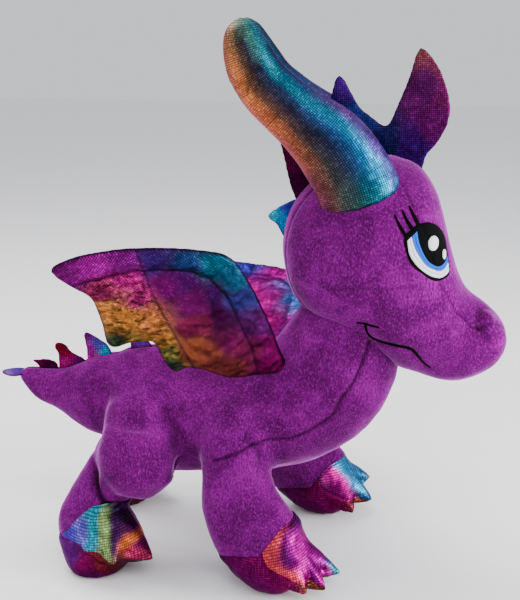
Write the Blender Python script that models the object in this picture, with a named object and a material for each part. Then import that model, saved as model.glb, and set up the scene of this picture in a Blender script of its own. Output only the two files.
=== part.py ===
"""A standing plush dragon with wings.

Sewn plush covers and metallic foil trims are separate shells around fibre stuffing.
The dragon faces +X, its right side is -Y and +Z is up.  Profile tables are in
millimetres; everything else is in metres.
"""

import math

import bmesh
import bpy
from mathutils import Matrix, Vector
from mathutils.bvhtree import BVHTree

MM = 0.001

# Driving dimensions
WALL = 1.4 * MM             # thickness of a plush or foil cover
SEAM_GAP = 0.35 * MM        # space left between neighbouring pieces
HINGE_GAP = 1.2 * MM        # space left around a limb that swings
FOIL_THICKNESS = 2.4 * MM   # two foil layers and their interlining
HEAD_TURN = math.radians(9)
TORSO_SIDES = 14            # flat sides around each stuffed form
HEAD_SIDES = 14
HORN_SIDES = 10
TAIL_SIDES = 10
LEG_SIDES = 10
TOE_SIDES = 8
RIGHT, LEFT = -1, 1
SIDE_NAMES = {RIGHT: "right", LEFT: "left"}

# The origin sits under the centre of the bounding box
FRAME_SHIFT = Vector((0.0139, -0.0241, 0.0))

# Joint places, in the body's own frame
NECK_PIVOT = Vector((0.062, 0.0, 0.178))
TAIL_PIVOT = Vector((-0.108, 0.0, 0.112))
FRONT_HIP = Vector((-0.009, 0.0, 0.110))
HIND_HIP = Vector((-0.078, 0.0, 0.104))
WING_ROOT = Vector((0.016, 0.0, 0.148))
WING_ROOT_SIDE = 27 * MM
WING_YAW = math.radians(20)
WING_LIFT = {RIGHT: math.radians(66), LEFT: math.radians(16)}

NOD_SWEEP = math.radians(15)
TAIL_SWEEP = math.radians(20)
LEG_SWEEP = math.radians(15)

# Profiles: (x, z, half height, half width), half sizes across the centre line
TORSO = [
    (-106, 111, 0, 0), (-103, 111, 31, 26), (-96, 110.5, 39.5, 35), (-72, 106, 46, 41),
    (-38, 106, 44, 43), (-4, 107, 41, 43), (24, 114.5, 41, 42), (44, 132, 44, 40),
    (56, 154, 42, 38), (62, 177, 36.5, 36),
]
NECK_DOME = 36 * MM
TAIL = [
    (-108, 112, 31.5, 27), (-121, 112, 29.5, 26), (-131, 112, 25.5, 23),
    (-150, 114, 16, 15.5), (-165, 117, 12, 12), (-176, 121, 8, 8),
    (-183, 123.5, 4, 4), (-186, 124, 0, 0),
]
# Head profile: (forward of the neck pivot, z, half height, half width)
HEAD = [
    (-45.5, 232, 0, 0), (-43, 231, 17, 17), (-36, 230, 34, 31), (-22, 231, 48, 45),
    (-4, 231, 59, 54), (14, 228.5, 65.5, 57), (32, 221, 71, 54), (48, 214, 70, 47),
    (60, 200.5, 60.5, 39), (70, 181.5, 43.5, 33), (80, 171, 32, 29.5), (92, 169, 25, 26),
    (102, 168, 17, 20), (107.5, 168, 8, 11), (109.5, 168, 0, 0),
]
HORN = [
    (6, 266, 25, 20), (1, 281, 26, 21), (-13, 302, 24.5, 21), (-29.5, 316.5, 21, 19.5),
    (-43.5, 328, 18.5, 18), (-57, 340.5, 17.5, 17), (-65, 354, 16.5, 16), (-69.5, 366.5, 13.5, 13.5),
    (-71, 376.5, 9, 9), (-71.5, 383, 0, 0),
]
HORN_SIDE = 28 * MM
# Leg profiles: (x, z, half height, half width, sideways, splay forward and outward)
FRONT_LEG = [
    (-9, 132.5, 0, 0), (-9, 126, 15.5, 14), (-9, 110, 22.5, 21.5), (-9, 92, 22.5, 22),
    (-7.5, 74, 23.5, 22), (-3, 55, 27, 23), (8, 39, 29.5, 24), (24, 23.5, 27, 26),
    (39, 16, 21, 25), (51, 12.5, 14, 20), (57, 11, 0, 0),
]
HIND_LEG = [
    (-78, 131, 0, 0), (-78, 122, 19, 16), (-78, 104, 27, 23), (-79, 87, 28, 24),
    (-89, 69, 26.5, 24), (-104, 53, 25, 23), (-109, 38, 25, 23), (-108, 20, 23.5, 23),
    (-105, 2, 19, 19), (-104, -6, 0, 0),
]
LEG_SIDE = 50.5 * MM
FOOT_SIDE = {("front", RIGHT): 54 * MM, ("front", LEFT): 74 * MM,
             ("hind", RIGHT): 54 * MM, ("hind", LEFT): 56 * MM}
STRIDE = {("front", RIGHT): 0.0, ("front", LEFT): 17 * MM,
          ("hind", RIGHT): 0.0, ("hind", LEFT): -22 * MM}
SOLE_TOP = 8 * MM

# Wing outline in its own plane: (back from the root, up from the root)
WING = [
    (-2, 9), (7, 42), (19, 70), (29, 89), (35, 96), (43, 100), (68, 104), (97, 105),
    (120, 102), (136, 97), (143, 91), (131, 78), (124, 73), (119, 66), (114, 46),
    (112, 32), (107, 28), (99, 31), (89, 32), (81, 30), (75, 14), (68, 4), (61, 7),
    (50, 5), (40, 0), (29, -4), (10, 0),
]
# Crest outlines in the head's middle plane: (forward of the neck pivot, z)
HEAD_CREST = [
    (46, 270), (48, 291), (56, 302), (62, 314), (63, 326), (60, 338), (54, 351), (43, 362),
    (37, 344), (30, 326), (23, 312), (12, 318), (3, 326), (-9, 345), (-15, 326), (-22, 306),
    (-34, 309), (-48, 311), (-44, 290), (-37, 265), (-24, 255), (10, 268),
]
NAPE_SPIKE = [(-34, 264), (-43, 260), (-55, 252), (-49, 246), (-43, 236), (-34, 238)]
GUSSET_HALF_WIDTH = 38 * MM
SPINES = {
    "back_spine_1": [(-48, 145), (-58, 158), (-70, 169), (-73, 158), (-76, 145)],
    "back_spine_2": [(-76, 145), (-84, 156), (-95, 166), (-96, 154), (-94, 143)],
    "tail_spine_1": [(-110, 138), (-113, 148), (-121, 154), (-131, 158), (-130, 148), (-128, 132)],
    "tail_spine_2": [(-131, 130), (-132, 137), (-142, 142), (-147, 147.5), (-152.5, 149), (-155, 145.5), (-152, 140.5),
                     (-150, 125)],
    "tail_spine_3": [(-155, 122), (-153.5, 131), (-157, 134.5), (-164, 135), (-173, 134), (-168, 130.5), (-166, 122)],
}
TAIL_FIN = [(-176, 0), (-184, 8), (-192, 7), (-198, 0), (-192, -7), (-184, -8)]

# Embroidery, in the head's side view: (forward, z, half width, half height, tilt in degrees)
EYE = (49, 236, 15, 20.5, 14)
STITCH_THICKNESS = 1.3 * MM
MOUTH_LINE = [(10, 187), (14, 180), (22, 176), (32, 173.5), (40, 170), (48, 163), (58, 157)]

MATERIALS = {
    "plush": ((0.26, 0.012, 0.30), 0.95, 0.0),
    "foil": ((0.30, 0.08, 0.32), 0.35, 0.7),
    "fibre": ((0.85, 0.85, 0.83), 1.0, 0.0),
    "eye_thread": ((0.10, 0.22, 0.75), 0.6, 0.0),
    "black_thread": ((0.01, 0.01, 0.015), 0.6, 0.0),
}


# ---------------------------------------------------------------- scene and helpers

def clear_scene():
    for obj in list(bpy.data.objects):
        bpy.data.objects.remove(obj, do_unlink=True)


def new_collection(name):
    collection = bpy.data.collections.new(name)
    bpy.context.scene.collection.children.link(collection)
    return collection


def make_material(name):
    colour, roughness, metallic = MATERIALS[name]
    material = bpy.data.materials.new(name)
    material.use_nodes = True
    shader = material.node_tree.nodes["Principled BSDF"]
    shader.inputs["Base Color"].default_value = (*colour, 1.0)
    shader.inputs["Roughness"].default_value = roughness
    shader.inputs["Metallic"].default_value = metallic
    material.diffuse_color = (*colour, 1.0)
    return material


def object_from(bm, name, collection):
    bmesh.ops.recalc_face_normals(bm, faces=bm.faces)
    mesh = bpy.data.meshes.new(name)
    bm.to_mesh(mesh)
    bm.free()
    obj = bpy.data.objects.new(name, mesh)
    collection.objects.link(obj)
    return obj


def cutter(bm):
    obj = object_from(bm, "cutter", cutters)
    obj.hide_render = True
    obj.display_type = "WIRE"
    return obj


def combine(obj, tool, operation):
    """Apply one boolean, then drop the tool."""
    modifier = obj.modifiers.new("cut", "BOOLEAN")
    modifier.operation = operation
    modifier.solver = "EXACT"
    modifier.object = tool
    graph = bpy.context.evaluated_depsgraph_get()
    mesh = bpy.data.meshes.new_from_object(obj.evaluated_get(graph))
    obj.modifiers.clear()
    obj.data = mesh
    bpy.data.objects.remove(tool, do_unlink=True)
    return obj


def drop_crumbs(mesh):
    """Keep only the largest connected body of a piece that several cuts have passed."""
    bm = bmesh.new()
    bm.from_mesh(mesh)
    bodies = []
    left = set(bm.verts)
    while left:
        body = {left.pop()}
        front = list(body)
        while front:
            for edge in front.pop().link_edges:
                for vert in edge.verts:
                    if vert not in body:
                        body.add(vert)
                        front.append(vert)
        left -= body
        bodies.append(body)
    largest = max(bodies, key=len)
    crumbs = [vert for vert in bm.verts if vert not in largest]
    bmesh.ops.delete(bm, geom=crumbs, context="VERTS")
    bm.to_mesh(mesh)
    bm.free()


def finish(obj, name, material, joint=None):
    """Name a piece, colour it and hang it on its joint, with its origin on the joint."""
    drop_crumbs(obj.data)
    obj.name = name
    obj.data.name = name
    obj.data.materials.clear()
    obj.data.materials.append(materials[material])
    obj.data.shade_smooth()
    obj.data.set_sharp_from_angle(angle=math.radians(40))
    obj.parent = joint or frame_empty
    if joint and joint is not joints["head"]:
        obj.data.transform(Matrix.Translation(-joint.location))
    return obj


def make_joint(name, location, parent, turn=0.0):
    empty = bpy.data.objects.new(name, None)
    empty.empty_display_size = 0.02
    empty.location = location
    empty.rotation_euler = (0, 0, turn)
    empty.parent = parent
    cutters.objects.link(empty)
    return empty


# ---------------------------------------------------------------- shapes

def rings_of(profile, grow=0.0, sides=TAIL_SIDES, side_shift=None, upright=False):
    """Rings of points across a centre line in the XZ plane; a zero radius is a pole."""
    rows = [[value * MM for value in row] for row in profile]
    rings = []
    for i, (x, z, half_height, half_width) in enumerate(rows):
        before = rows[max(i - 1, 0)]
        after = rows[min(i + 1, len(rows) - 1)]
        along = Vector((after[0] - before[0], 0, after[1] - before[1])).normalized()
        if upright:
            along = Vector((1, 0, 0))
        across = Vector((-along.z, 0, along.x))
        y = side_shift[i] if side_shift else 0.0
        centre = Vector((x, y, z))
        if half_height == 0:
            outward = -1 if i == 0 else 1
            rings.append([centre + along * outward * grow])
            continue
        high = max(half_height + grow, 0.4 * MM)
        wide = max(half_width + grow, 0.4 * MM)
        ring = []
        for k in range(sides):
            angle = 2 * math.pi * (k + 0.5) / sides
            ring.append(centre + across * high * math.cos(angle)
                        + Vector((0, wide * math.sin(angle), 0)))
        rings.append(ring)
    return rings


def loft(rings):
    bm = bmesh.new()
    loops = [[bm.verts.new(point) for point in ring] for ring in rings]
    for lower, upper in zip(loops, loops[1:]):
        count = max(len(lower), len(upper))
        for k in range(count):
            corners = [lower[k % len(lower)], lower[(k + 1) % len(lower)],
                       upper[(k + 1) % len(upper)], upper[k % len(upper)]]
            unique = list(dict.fromkeys(corners))
            bm.faces.new(unique)
    for end in (loops[0], loops[-1]):
        if len(end) > 1:
            bm.faces.new(end)
    bm.normal_update()
    bmesh.ops.triangulate(bm, faces=bm.faces)
    return bm


def prism(outline, low, high, plane="xz"):
    """A flat outline in millimetres given thickness along the plane's normal."""
    bm = bmesh.new()
    ends = []
    for depth in (low, high):
        corners = []
        for a, b in outline:
            point = (a * MM, depth, b * MM) if plane == "xz" else (a * MM, b * MM, depth)
            corners.append(bm.verts.new(point))
        ends.append(corners)
        bm.faces.new(corners)
    count = len(outline)
    for k in range(count):
        n = (k + 1) % count
        bm.faces.new([ends[0][k], ends[0][n], ends[1][n], ends[1][k]])
    bm.normal_update()
    bmesh.ops.triangulate(bm, faces=bm.faces)
    return bm


def block(low, high):
    bm = bmesh.new()
    bmesh.ops.create_cube(bm, size=1.0)
    size = Vector(high) - Vector(low)
    middle = (Vector(high) + Vector(low)) / 2
    for vert in bm.verts:
        vert.co = Vector((vert.co[i] * size[i] for i in range(3))) + middle
    return bm


def ball(centre, radius, tall=1.0, segments=16):
    bm = bmesh.new()
    bmesh.ops.create_uvsphere(bm, u_segments=segments, v_segments=segments // 2, radius=radius)
    for vert in bm.verts:
        vert.co.z *= tall
        vert.co += centre
    return bm


def hull(points):
    bm = bmesh.new()
    for point in points:
        bm.verts.new(point)
    found = bmesh.ops.convex_hull(bm, input=bm.verts)
    loose = [item for item in found["geom_interior"] + found["geom_unused"]
             if isinstance(item, bmesh.types.BMVert)]
    bmesh.ops.delete(bm, geom=list(set(loose)), context="VERTS")
    return bm


def swept(rings, pivot, axis, sweep, steps=1):
    """The space that rings of points pass through as they turn about a joint."""
    points = []
    for i in range(-steps, steps + 1):
        turn = Matrix.Rotation(sweep * i / steps, 3, axis)
        for ring in rings:
            points += [pivot + turn @ (point - pivot) for point in ring]
    return hull(points)


def cover_of(outer_rings, inner_rings):
    """A hollow shell between two lofts; a later cut has to open it."""
    shell = object_from(loft(outer_rings), "shell", parts)
    return combine(shell, cutter(loft(inner_rings)), "DIFFERENCE")


def copy_of(obj):
    twin = bpy.data.objects.new("copy", obj.data.copy())
    parts.objects.link(twin)
    return twin


def surface_tree(rings):
    bm = loft(rings)
    bmesh.ops.recalc_face_normals(bm, faces=bm.faces)
    tree = BVHTree.FromBMesh(bm)
    bm.free()
    return tree


# ---------------------------------------------------------------- torso

def leg_rings(kind, side, grow=0.0):
    """Rings of one leg, eased outward and along its stride towards the foot."""
    profile = FRONT_LEG if kind == "front" else HIND_LEG
    hip = FRONT_HIP if kind == "front" else HIND_HIP
    foot_side = FOOT_SIDE[kind, side]
    rows, shift = [], []
    for x, z, high, wide in profile:
        drop = min(max((hip.z - z * MM) / hip.z, 0.0), 1.0)
        rows.append((x + STRIDE[kind, side] * drop / MM, z, high, wide))
        shift.append(side * (LEG_SIDE + (foot_side - LEG_SIDE) * drop))
    return rings_of(rows, grow, LEG_SIDES, shift)


def leg_notch(kind, side):
    hip = FRONT_HIP if kind == "front" else HIND_HIP
    upper = [ring for ring in leg_rings(kind, side, HINGE_GAP) if ring[0].z > 30 * MM]
    pivot = Vector((hip.x, side * LEG_SIDE, hip.z))
    return cutter(swept(upper, pivot, "Y", LEG_SWEEP))


def tail_socket():
    rings = rings_of(TAIL[:3], HINGE_GAP)
    return cutter(swept(rings, TAIL_PIVOT, "Z", TAIL_SWEEP))


def carve_torso(obj):
    for kind in ("front", "hind"):
        for side in (RIGHT, LEFT):
            combine(obj, leg_notch(kind, side), "DIFFERENCE")
    combine(obj, tail_socket(), "DIFFERENCE")
    dome = ball(TAIL_PIVOT, 27 * MM + HINGE_GAP, 31.5 / 27)
    combine(obj, cutter(dome), "DIFFERENCE")
    rear = block((-0.2, -0.1, 0.0), (-0.097, 0.1, 0.2))
    return combine(obj, cutter(rear), "DIFFERENCE")


def below_centre_line():
    """The side outline under and in front of the torso's centre line."""
    line = [(x, z) for x, z, _, _ in TORSO[3:-1]]
    return [(-130, 110)] + line + [(71, 206), (160, 215), (160, 20), (-130, 20)]


def make_torso():
    outer = rings_of(TORSO, 0.0, TORSO_SIDES)
    inner = rings_of(TORSO, -WALL, TORSO_SIDES)
    cover = cover_of(outer, inner)
    neck_top = Vector((0.30, 0, 0.954)).normalized()
    lid = block((-0.1, -0.1, 0.0), (0.1, 0.1, 0.1))
    tilt = Vector((0, 0, 1)).rotation_difference(neck_top).to_matrix().to_4x4()
    bmesh.ops.transform(lid, matrix=Matrix.Translation(NECK_PIVOT - neck_top * 6 * MM) @ tilt,
                        verts=lid.verts)
    combine(cover, cutter(lid), "DIFFERENCE")
    carve_torso(cover)

    outline = below_centre_line()
    half = GUSSET_HALF_WIDTH
    gusset = combine(copy_of(cover), cutter(prism(outline, -half, half)), "INTERSECT")
    wider = cutter(prism(outline, -half - SEAM_GAP, half + SEAM_GAP))
    sides = combine(cover, wider, "DIFFERENCE")
    for side in (RIGHT, LEFT):
        half_space = block((-0.3, SEAM_GAP / 2, 0), (0.3, 0.2, 0.4)) if side == LEFT \
            else block((-0.3, -0.2, 0), (0.3, -SEAM_GAP / 2, 0.4))
        panel = combine(copy_of(sides), cutter(half_space), "INTERSECT")
        finish(panel, SIDE_NAMES[side] + "_body_panel", "plush")
    bpy.data.objects.remove(sides, do_unlink=True)
    finish(gusset, "belly_gusset", "plush")

    stuffing = object_from(loft(rings_of(TORSO, -WALL - SEAM_GAP, TORSO_SIDES)), "stuffing", parts)
    dome = cutter(ball(NECK_PIVOT, NECK_DOME - WALL, 1.0, 16))
    combine(stuffing, dome, "UNION")
    carve_torso(stuffing)
    finish(stuffing, "body_stuffing", "fibre")


# ---------------------------------------------------------------- head

def neck_space():
    """Room for the neck as the head nods, in the head's own frame."""
    upright = Matrix.Rotation(-HEAD_TURN, 3, "Z")
    rings = []
    for ring in rings_of(TORSO, HINGE_GAP, TORSO_SIDES)[-3:]:
        rings.append([upright @ (point - NECK_PIVOT) for point in ring])
    return cutter(swept(rings, Vector(), "Y", NOD_SWEEP))


def head_rings(grow=0.0):
    rings = rings_of(HEAD, grow, HEAD_SIDES, upright=True)
    return [[point - Vector((0, 0, NECK_PIVOT.z)) for point in ring] for ring in rings]


def carve_head(obj):
    combine(obj, neck_space(), "DIFFERENCE")
    return combine(obj, cutter(ball(Vector(), NECK_DOME + SEAM_GAP, 1.0, 16)), "DIFFERENCE")


def make_head():
    cover = carve_head(cover_of(head_rings(), head_rings(-WALL)))
    strip = [(x, z - NECK_PIVOT.z / MM) for x, z, _, _ in HEAD[4:-3]]
    strip += [(140, -11), (140, 160), (-80, 160), (-80, 50)]
    half = 17 * MM
    gusset = combine(copy_of(cover), cutter(prism(strip, -half, half)), "INTERSECT")
    wider = cutter(prism(strip, -half - SEAM_GAP, half + SEAM_GAP))
    sides = combine(cover, wider, "DIFFERENCE")
    for side in (RIGHT, LEFT):
        half_space = block((-0.3, SEAM_GAP / 2, -0.2), (0.3, 0.2, 0.4)) if side == LEFT \
            else block((-0.3, -0.2, -0.2), (0.3, -SEAM_GAP / 2, 0.4))
        panel = combine(copy_of(sides), cutter(half_space), "INTERSECT")
        finish(panel, "head_" + SIDE_NAMES[side] + "_panel", "plush", joints["head"])
    bpy.data.objects.remove(sides, do_unlink=True)
    finish(gusset, "head_top_gusset", "plush", joints["head"])
    stuffing = object_from(loft(head_rings(-WALL - SEAM_GAP)), "stuffing", parts)
    finish(carve_head(stuffing), "head_stuffing", "fibre", joints["head"])


def lowered(bm):
    bmesh.ops.translate(bm, verts=bm.verts, vec=(0, 0, -NECK_PIVOT.z))
    return bm


def make_horns():
    for side in (RIGHT, LEFT):
        shift = [side * HORN_SIDE] * len(HORN)
        outer = rings_of(HORN, 0.0, HORN_SIDES, shift)
        inner = rings_of(HORN, -WALL, HORN_SIDES, shift)
        stuffed = rings_of(HORN, -WALL - SEAM_GAP, HORN_SIDES, shift)
        inner[0] = [p - Vector((-0.002, 0, 0.004)) for p in inner[0]]
        shell = object_from(lowered(loft(outer)), "shell", parts)
        combine(shell, cutter(lowered(loft(inner))), "DIFFERENCE")
        fibre = object_from(lowered(loft(stuffed)), "fibre", parts)
        for obj, name, material in ((shell, "_horn_cover", "foil"), (fibre, "_horn_stuffing", "fibre")):
            combine(obj, cutter(loft(head_rings(SEAM_GAP))), "DIFFERENCE")
            finish(obj, SIDE_NAMES[side] + name, material, joints["head"])


def make_head_foils():
    half = FOIL_THICKNESS / 2
    for name, outline in (("head_crest", HEAD_CREST), ("nape_spike", NAPE_SPIKE)):
        plate = object_from(lowered(prism(outline, -half, half)), name, parts)
        combine(plate, cutter(loft(head_rings(SEAM_GAP))), "DIFFERENCE")
        finish(plate, name, "foil", joints["head"])


def on_head(tree, forward, z, side, lift):
    """The point above the head's side surface at one place of its side view."""
    start = Vector((forward, side * 0.2, z - NECK_PIVOT.z))
    point, normal, _, _ = tree.ray_cast(start, Vector((0, -side, 0)))
    return point + normal * lift


def make_embroidery():
    tree = surface_tree(head_rings())
    for side in (RIGHT, LEFT):
        path = [on_head(tree, x * MM, z * MM, side, 0.9 * MM) for x, z in MOUTH_LINE]
        pieces = (("_eye_embroidery", eye_patch(tree, side), "eye_thread"),
                  ("_mouth_stitching", thread_line(path, 0.9 * MM), "black_thread"))
        for name, piece, material in pieces:
            combine(piece, cutter(loft(head_rings(SEAM_GAP))), "DIFFERENCE")
            finish(piece, SIDE_NAMES[side] + name, material, joints["head"])


def eye_patch(tree, side, rings=2, sides=12):
    """A thin oval that follows the head's surface."""
    forward, z, half_w, half_h = (value * MM for value in EYE[:4])
    tilt = math.radians(EYE[4])
    bm = bmesh.new()
    layers = []
    for level in (-STITCH_THICKNESS / 2, STITCH_THICKNESS):
        rows = [[bm.verts.new(on_head(tree, forward, z, side, level))]]
        for r in range(1, rings + 1):
            row = []
            for k in range(sides):
                angle = 2 * math.pi * k / sides
                across = half_w * r / rings * math.cos(angle)
                upward = half_h * r / rings * math.sin(angle)
                u = across * math.cos(tilt) - upward * math.sin(tilt)
                v = across * math.sin(tilt) + upward * math.cos(tilt)
                row.append(bm.verts.new(on_head(tree, forward + u, z + v, side, level)))
            rows.append(row)
        layers.append(rows)
        for k in range(sides):
            n = (k + 1) % sides
            bm.faces.new([rows[0][0], rows[1][k], rows[1][n]])
            for lower, upper in zip(rows[1:], rows[2:]):
                bm.faces.new([lower[k], upper[k], upper[n], lower[n]])
    for k in range(sides):
        n = (k + 1) % sides
        low, high = layers[0][-1], layers[1][-1]
        bm.faces.new([low[k], low[n], high[n], high[k]])
    bm.normal_update()
    bmesh.ops.triangulate(bm, faces=bm.faces)
    return object_from(bm, "patch", parts)


def thread_line(path, radius, sides=5):
    """A closed tube along a path of points."""
    bm = bmesh.new()
    rings = []
    for i, point in enumerate(path):
        along = (path[min(i + 1, len(path) - 1)] - path[max(i - 1, 0)]).normalized()
        across = along.cross(Vector((0, 1, 0))).normalized()
        out = along.cross(across)
        ring = []
        for k in range(sides):
            angle = 2 * math.pi * k / sides
            ring.append(bm.verts.new(point + (across * math.cos(angle) + out * math.sin(angle)) * radius))
        rings.append(ring)
    for lower, upper in zip(rings, rings[1:]):
        for k in range(sides):
            n = (k + 1) % sides
            bm.faces.new([lower[k], lower[n], upper[n], upper[k]])
    bm.faces.new(rings[0])
    bm.faces.new(rings[-1])
    bm.normal_update()
    bmesh.ops.triangulate(bm, faces=bm.faces)
    return object_from(bm, "thread", parts)


# ---------------------------------------------------------------- tail

def tail_rings(grow):
    """The tail cone, closed at the front by a spheroid centred on the wag axis."""
    rings = rings_of(TAIL, grow)
    front = []
    for degrees in (90, 65, 45, 22):
        angle = math.radians(degrees)
        high, wide = (31.5 * MM + grow) * math.cos(angle), (27 * MM + grow) * math.cos(angle)
        forward = (27 * MM + grow) * math.sin(angle)
        centre = TAIL_PIVOT + Vector((forward, 0, 0))
        if degrees == 90:
            front.append([centre])
            continue
        ring = []
        for k in range(TAIL_SIDES):
            turn = 2 * math.pi * (k + 0.5) / TAIL_SIDES
            ring.append(centre + Vector((0, wide * math.sin(turn), -high * math.cos(turn))))
        front.append(ring)
    return front + rings


def make_tail():
    cover = cover_of(tail_rings(0.0), tail_rings(-WALL))
    opening = block((-0.106, -0.1, 0.0), (0.1, 0.1, 0.3))
    combine(cover, cutter(opening), "DIFFERENCE")
    finish(cover, "tail_cover", "plush", joints["tail"])
    stuffing = object_from(loft(tail_rings(-WALL - SEAM_GAP)), "stuffing", parts)
    finish(stuffing, "tail_stuffing", "fibre", joints["tail"])


def make_spines():
    half = FOIL_THICKNESS / 2
    for name, outline in SPINES.items():
        plate = object_from(prism(outline, -half, half), name, parts)
        on_tail = name.startswith("tail")
        rings = tail_rings(SEAM_GAP) if on_tail else rings_of(TORSO, SEAM_GAP, TORSO_SIDES)
        combine(plate, cutter(loft(rings)), "DIFFERENCE")
        finish(plate, name, "foil", joints["tail"] if on_tail else None)
    fin = object_from(prism(TAIL_FIN, 122.5 * MM, 122.5 * MM + FOIL_THICKNESS, "xy"), "fin", parts)
    combine(fin, cutter(loft(tail_rings(SEAM_GAP))), "DIFFERENCE")
    finish(fin, "tail_fin", "foil", joints["tail"])


# ---------------------------------------------------------------- legs

def toe_cones(kind, side):
    """Three pointed toes of one foot, as rings from root to tip."""
    if kind == "front":
        root = Vector((38 * MM + STRIDE[kind, side], side * FOOT_SIDE[kind, side], 14 * MM))
        heading, reach, fan, radius = 10.0, 27 * MM, 26.0, 12.5 * MM
    else:
        root = Vector((-104 * MM + STRIDE[kind, side], side * FOOT_SIDE[kind, side], 15 * MM))
        heading, reach, fan, radius = 46.0, 33 * MM, 34.0, 13 * MM
    cones = []
    for step in (-1, 0, 1):
        angle = math.radians(side * (heading + step * fan))
        along = Vector((math.cos(angle), math.sin(angle), -0.08)).normalized()
        across = Vector((-along.y, along.x, 0)).normalized()
        upward = along.cross(across)
        start = root + across * side * step * 4.3 * MM + Vector((0, 0, (step - 0.4) * 0.6 * MM))
        rings = []
        for share, size in ((0.0, 1.0), (0.55, 0.92), (0.85, 0.5), (1.0, 0.0)):
            centre = start + along * reach * share
            if size == 0:
                rings.append([centre])
                continue
            wide = radius * size
            rings.append([centre + across * wide * math.cos(2 * math.pi * k / TOE_SIDES)
                          + upward * wide * math.sin(2 * math.pi * k / TOE_SIDES) for k in range(TOE_SIDES)])
        cones.append(rings)
    return cones


def leg_solid(kind, side, grow, toes=False):
    """The whole stuffed limb: leg, foot and toes, flattened where it stands."""
    solid = object_from(loft(leg_rings(kind, side, grow)), "limb", parts)
    for rings in toe_cones(kind, side) if toes else []:
        combine(solid, cutter(loft(rings)), "UNION")
    floor = block((-0.3, -0.2, -0.1), (0.3, 0.2, -grow))
    return combine(solid, cutter(floor), "DIFFERENCE")


def ankle_plane(kind, side, shift):
    """Everything under the tilted line where the plush sleeve meets the foil foot."""
    if kind == "front":
        outline = [(-60, -4), (-16, 17), (4, 17), (20, 30), (42, 52), (120, 130), (120, -60), (-60, -60)]
    else:
        outline = [(-180, 31), (-131, 31), (-112, 50), (-96, 55), (-78, 50), (-20, 30), (-20, -60), (-180, -60)]
    moved = STRIDE[kind, side] * (0.8 if kind == "front" else 0.6) / MM
    outline = [(x + moved, z + shift / MM) for x, z in outline]
    return cutter(prism(outline, -0.2, 0.2))


def make_leg(kind, side):
    joint = joints[kind, side]
    prefix = SIDE_NAMES[side] + "_" + kind
    shell = combine(leg_solid(kind, side, 0.0, toes=True), leg_solid(kind, side, -WALL), "DIFFERENCE")
    foot = combine(copy_of(shell), ankle_plane(kind, side, 0.0), "INTERSECT")
    sleeve = combine(shell, ankle_plane(kind, side, SEAM_GAP), "DIFFERENCE")
    finish(sleeve, prefix + "_leg_cover", "plush", joint)
    split = block((-0.3, -0.2, -0.1), (0.3, 0.2, SOLE_TOP))
    sole = combine(copy_of(foot), cutter(split), "INTERSECT")
    finish(sole, prefix + "_foot_sole", "foil", joint)
    above = block((-0.3, -0.2, -0.1), (0.3, 0.2, SOLE_TOP + SEAM_GAP))
    finish(combine(foot, cutter(above), "DIFFERENCE"), prefix + "_foot_top", "foil", joint)
    stuffing = leg_solid(kind, side, -WALL - SEAM_GAP)
    finish(stuffing, prefix + "_leg_stuffing", "fibre", joint)


# ---------------------------------------------------------------- wings

def wing_matrix(side):
    """Wing plane axes: X back along the root, Z up the wing, Y out of its face."""
    back = Vector((-math.cos(WING_YAW), side * math.sin(WING_YAW), 0))
    out = Vector((math.sin(WING_YAW), side * math.cos(WING_YAW), 0))
    lift = WING_LIFT[side]
    up = out * math.cos(lift) + Vector((0, 0, math.sin(lift)))
    normal = up.cross(back) * side
    turn = Matrix((back, normal, up)).transposed().to_4x4()
    root = WING_ROOT + Vector((0, side * WING_ROOT_SIDE, 0))
    return Matrix.Translation(root) @ turn


def wing_layer(name, side, low, high, inset, material):
    outline = WING
    if inset:
        middle = (sum(a for a, _ in WING) / len(WING), sum(b for _, b in WING) / len(WING))
        outline = [(middle[0] + (a - middle[0]) * inset, middle[1] + (b - middle[1]) * inset)
                   for a, b in WING]
    bm = prism(outline, low, high)
    bmesh.ops.transform(bm, matrix=wing_matrix(side), verts=bm.verts)
    finish(object_from(bm, name, parts), name, material, joints["wing", side])


def make_wing(side):
    prefix = SIDE_NAMES[side] + "_wing_"
    wing_layer(prefix + "batting", side, -2.2 * MM, 2.2 * MM, 0.93, "fibre")
    wing_layer(prefix + "upper_panel", side, 2.5 * MM, 3.7 * MM, None, "foil")
    wing_layer(prefix + "lower_panel", side, -3.7 * MM, -2.5 * MM, None, "foil")


# ---------------------------------------------------------------- assembly

clear_scene()
parts = new_collection("plush_dragon")
cutters = new_collection("cutters")
materials = {name: make_material(name) for name in MATERIALS}
frame_empty = make_joint("dragon_frame", FRAME_SHIFT, None)
joints = {
    "head": make_joint("head_joint", NECK_PIVOT, frame_empty, HEAD_TURN),
    "tail": make_joint("tail_joint", TAIL_PIVOT, frame_empty),
}
for leg_side in (RIGHT, LEFT):
    for leg_kind, leg_hip in (("front", FRONT_HIP), ("hind", HIND_HIP)):
        hip_point = Vector((leg_hip.x, leg_side * LEG_SIDE, leg_hip.z))
        joint_name = SIDE_NAMES[leg_side] + "_" + leg_kind + "_hip"
        joints[leg_kind, leg_side] = make_joint(joint_name, hip_point, frame_empty)
    root_point = WING_ROOT + Vector((0, leg_side * WING_ROOT_SIDE, 0))
    wing_name = SIDE_NAMES[leg_side] + "_wing_root"
    joints["wing", leg_side] = make_joint(wing_name, root_point, frame_empty)

make_torso()
make_head()
make_horns()
make_head_foils()
make_embroidery()
make_tail()
make_spines()
for leg_side in (RIGHT, LEFT):
    make_leg("front", leg_side)
    make_leg("hind", leg_side)
    make_wing(leg_side)
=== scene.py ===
"""A standing plush dragon: short-pile plush, woven iridescent foil and satin embroidery.

Lengths in tables are millimetres in the dragon's own frame, which faces +X with its
right side at -Y.  The head's tables are in the head's frame, before it is turned.
"""

import math

import bmesh
import bpy
import numpy as np
from mathutils import Matrix, Vector, noise
from mathutils.bvhtree import BVHTree


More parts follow.
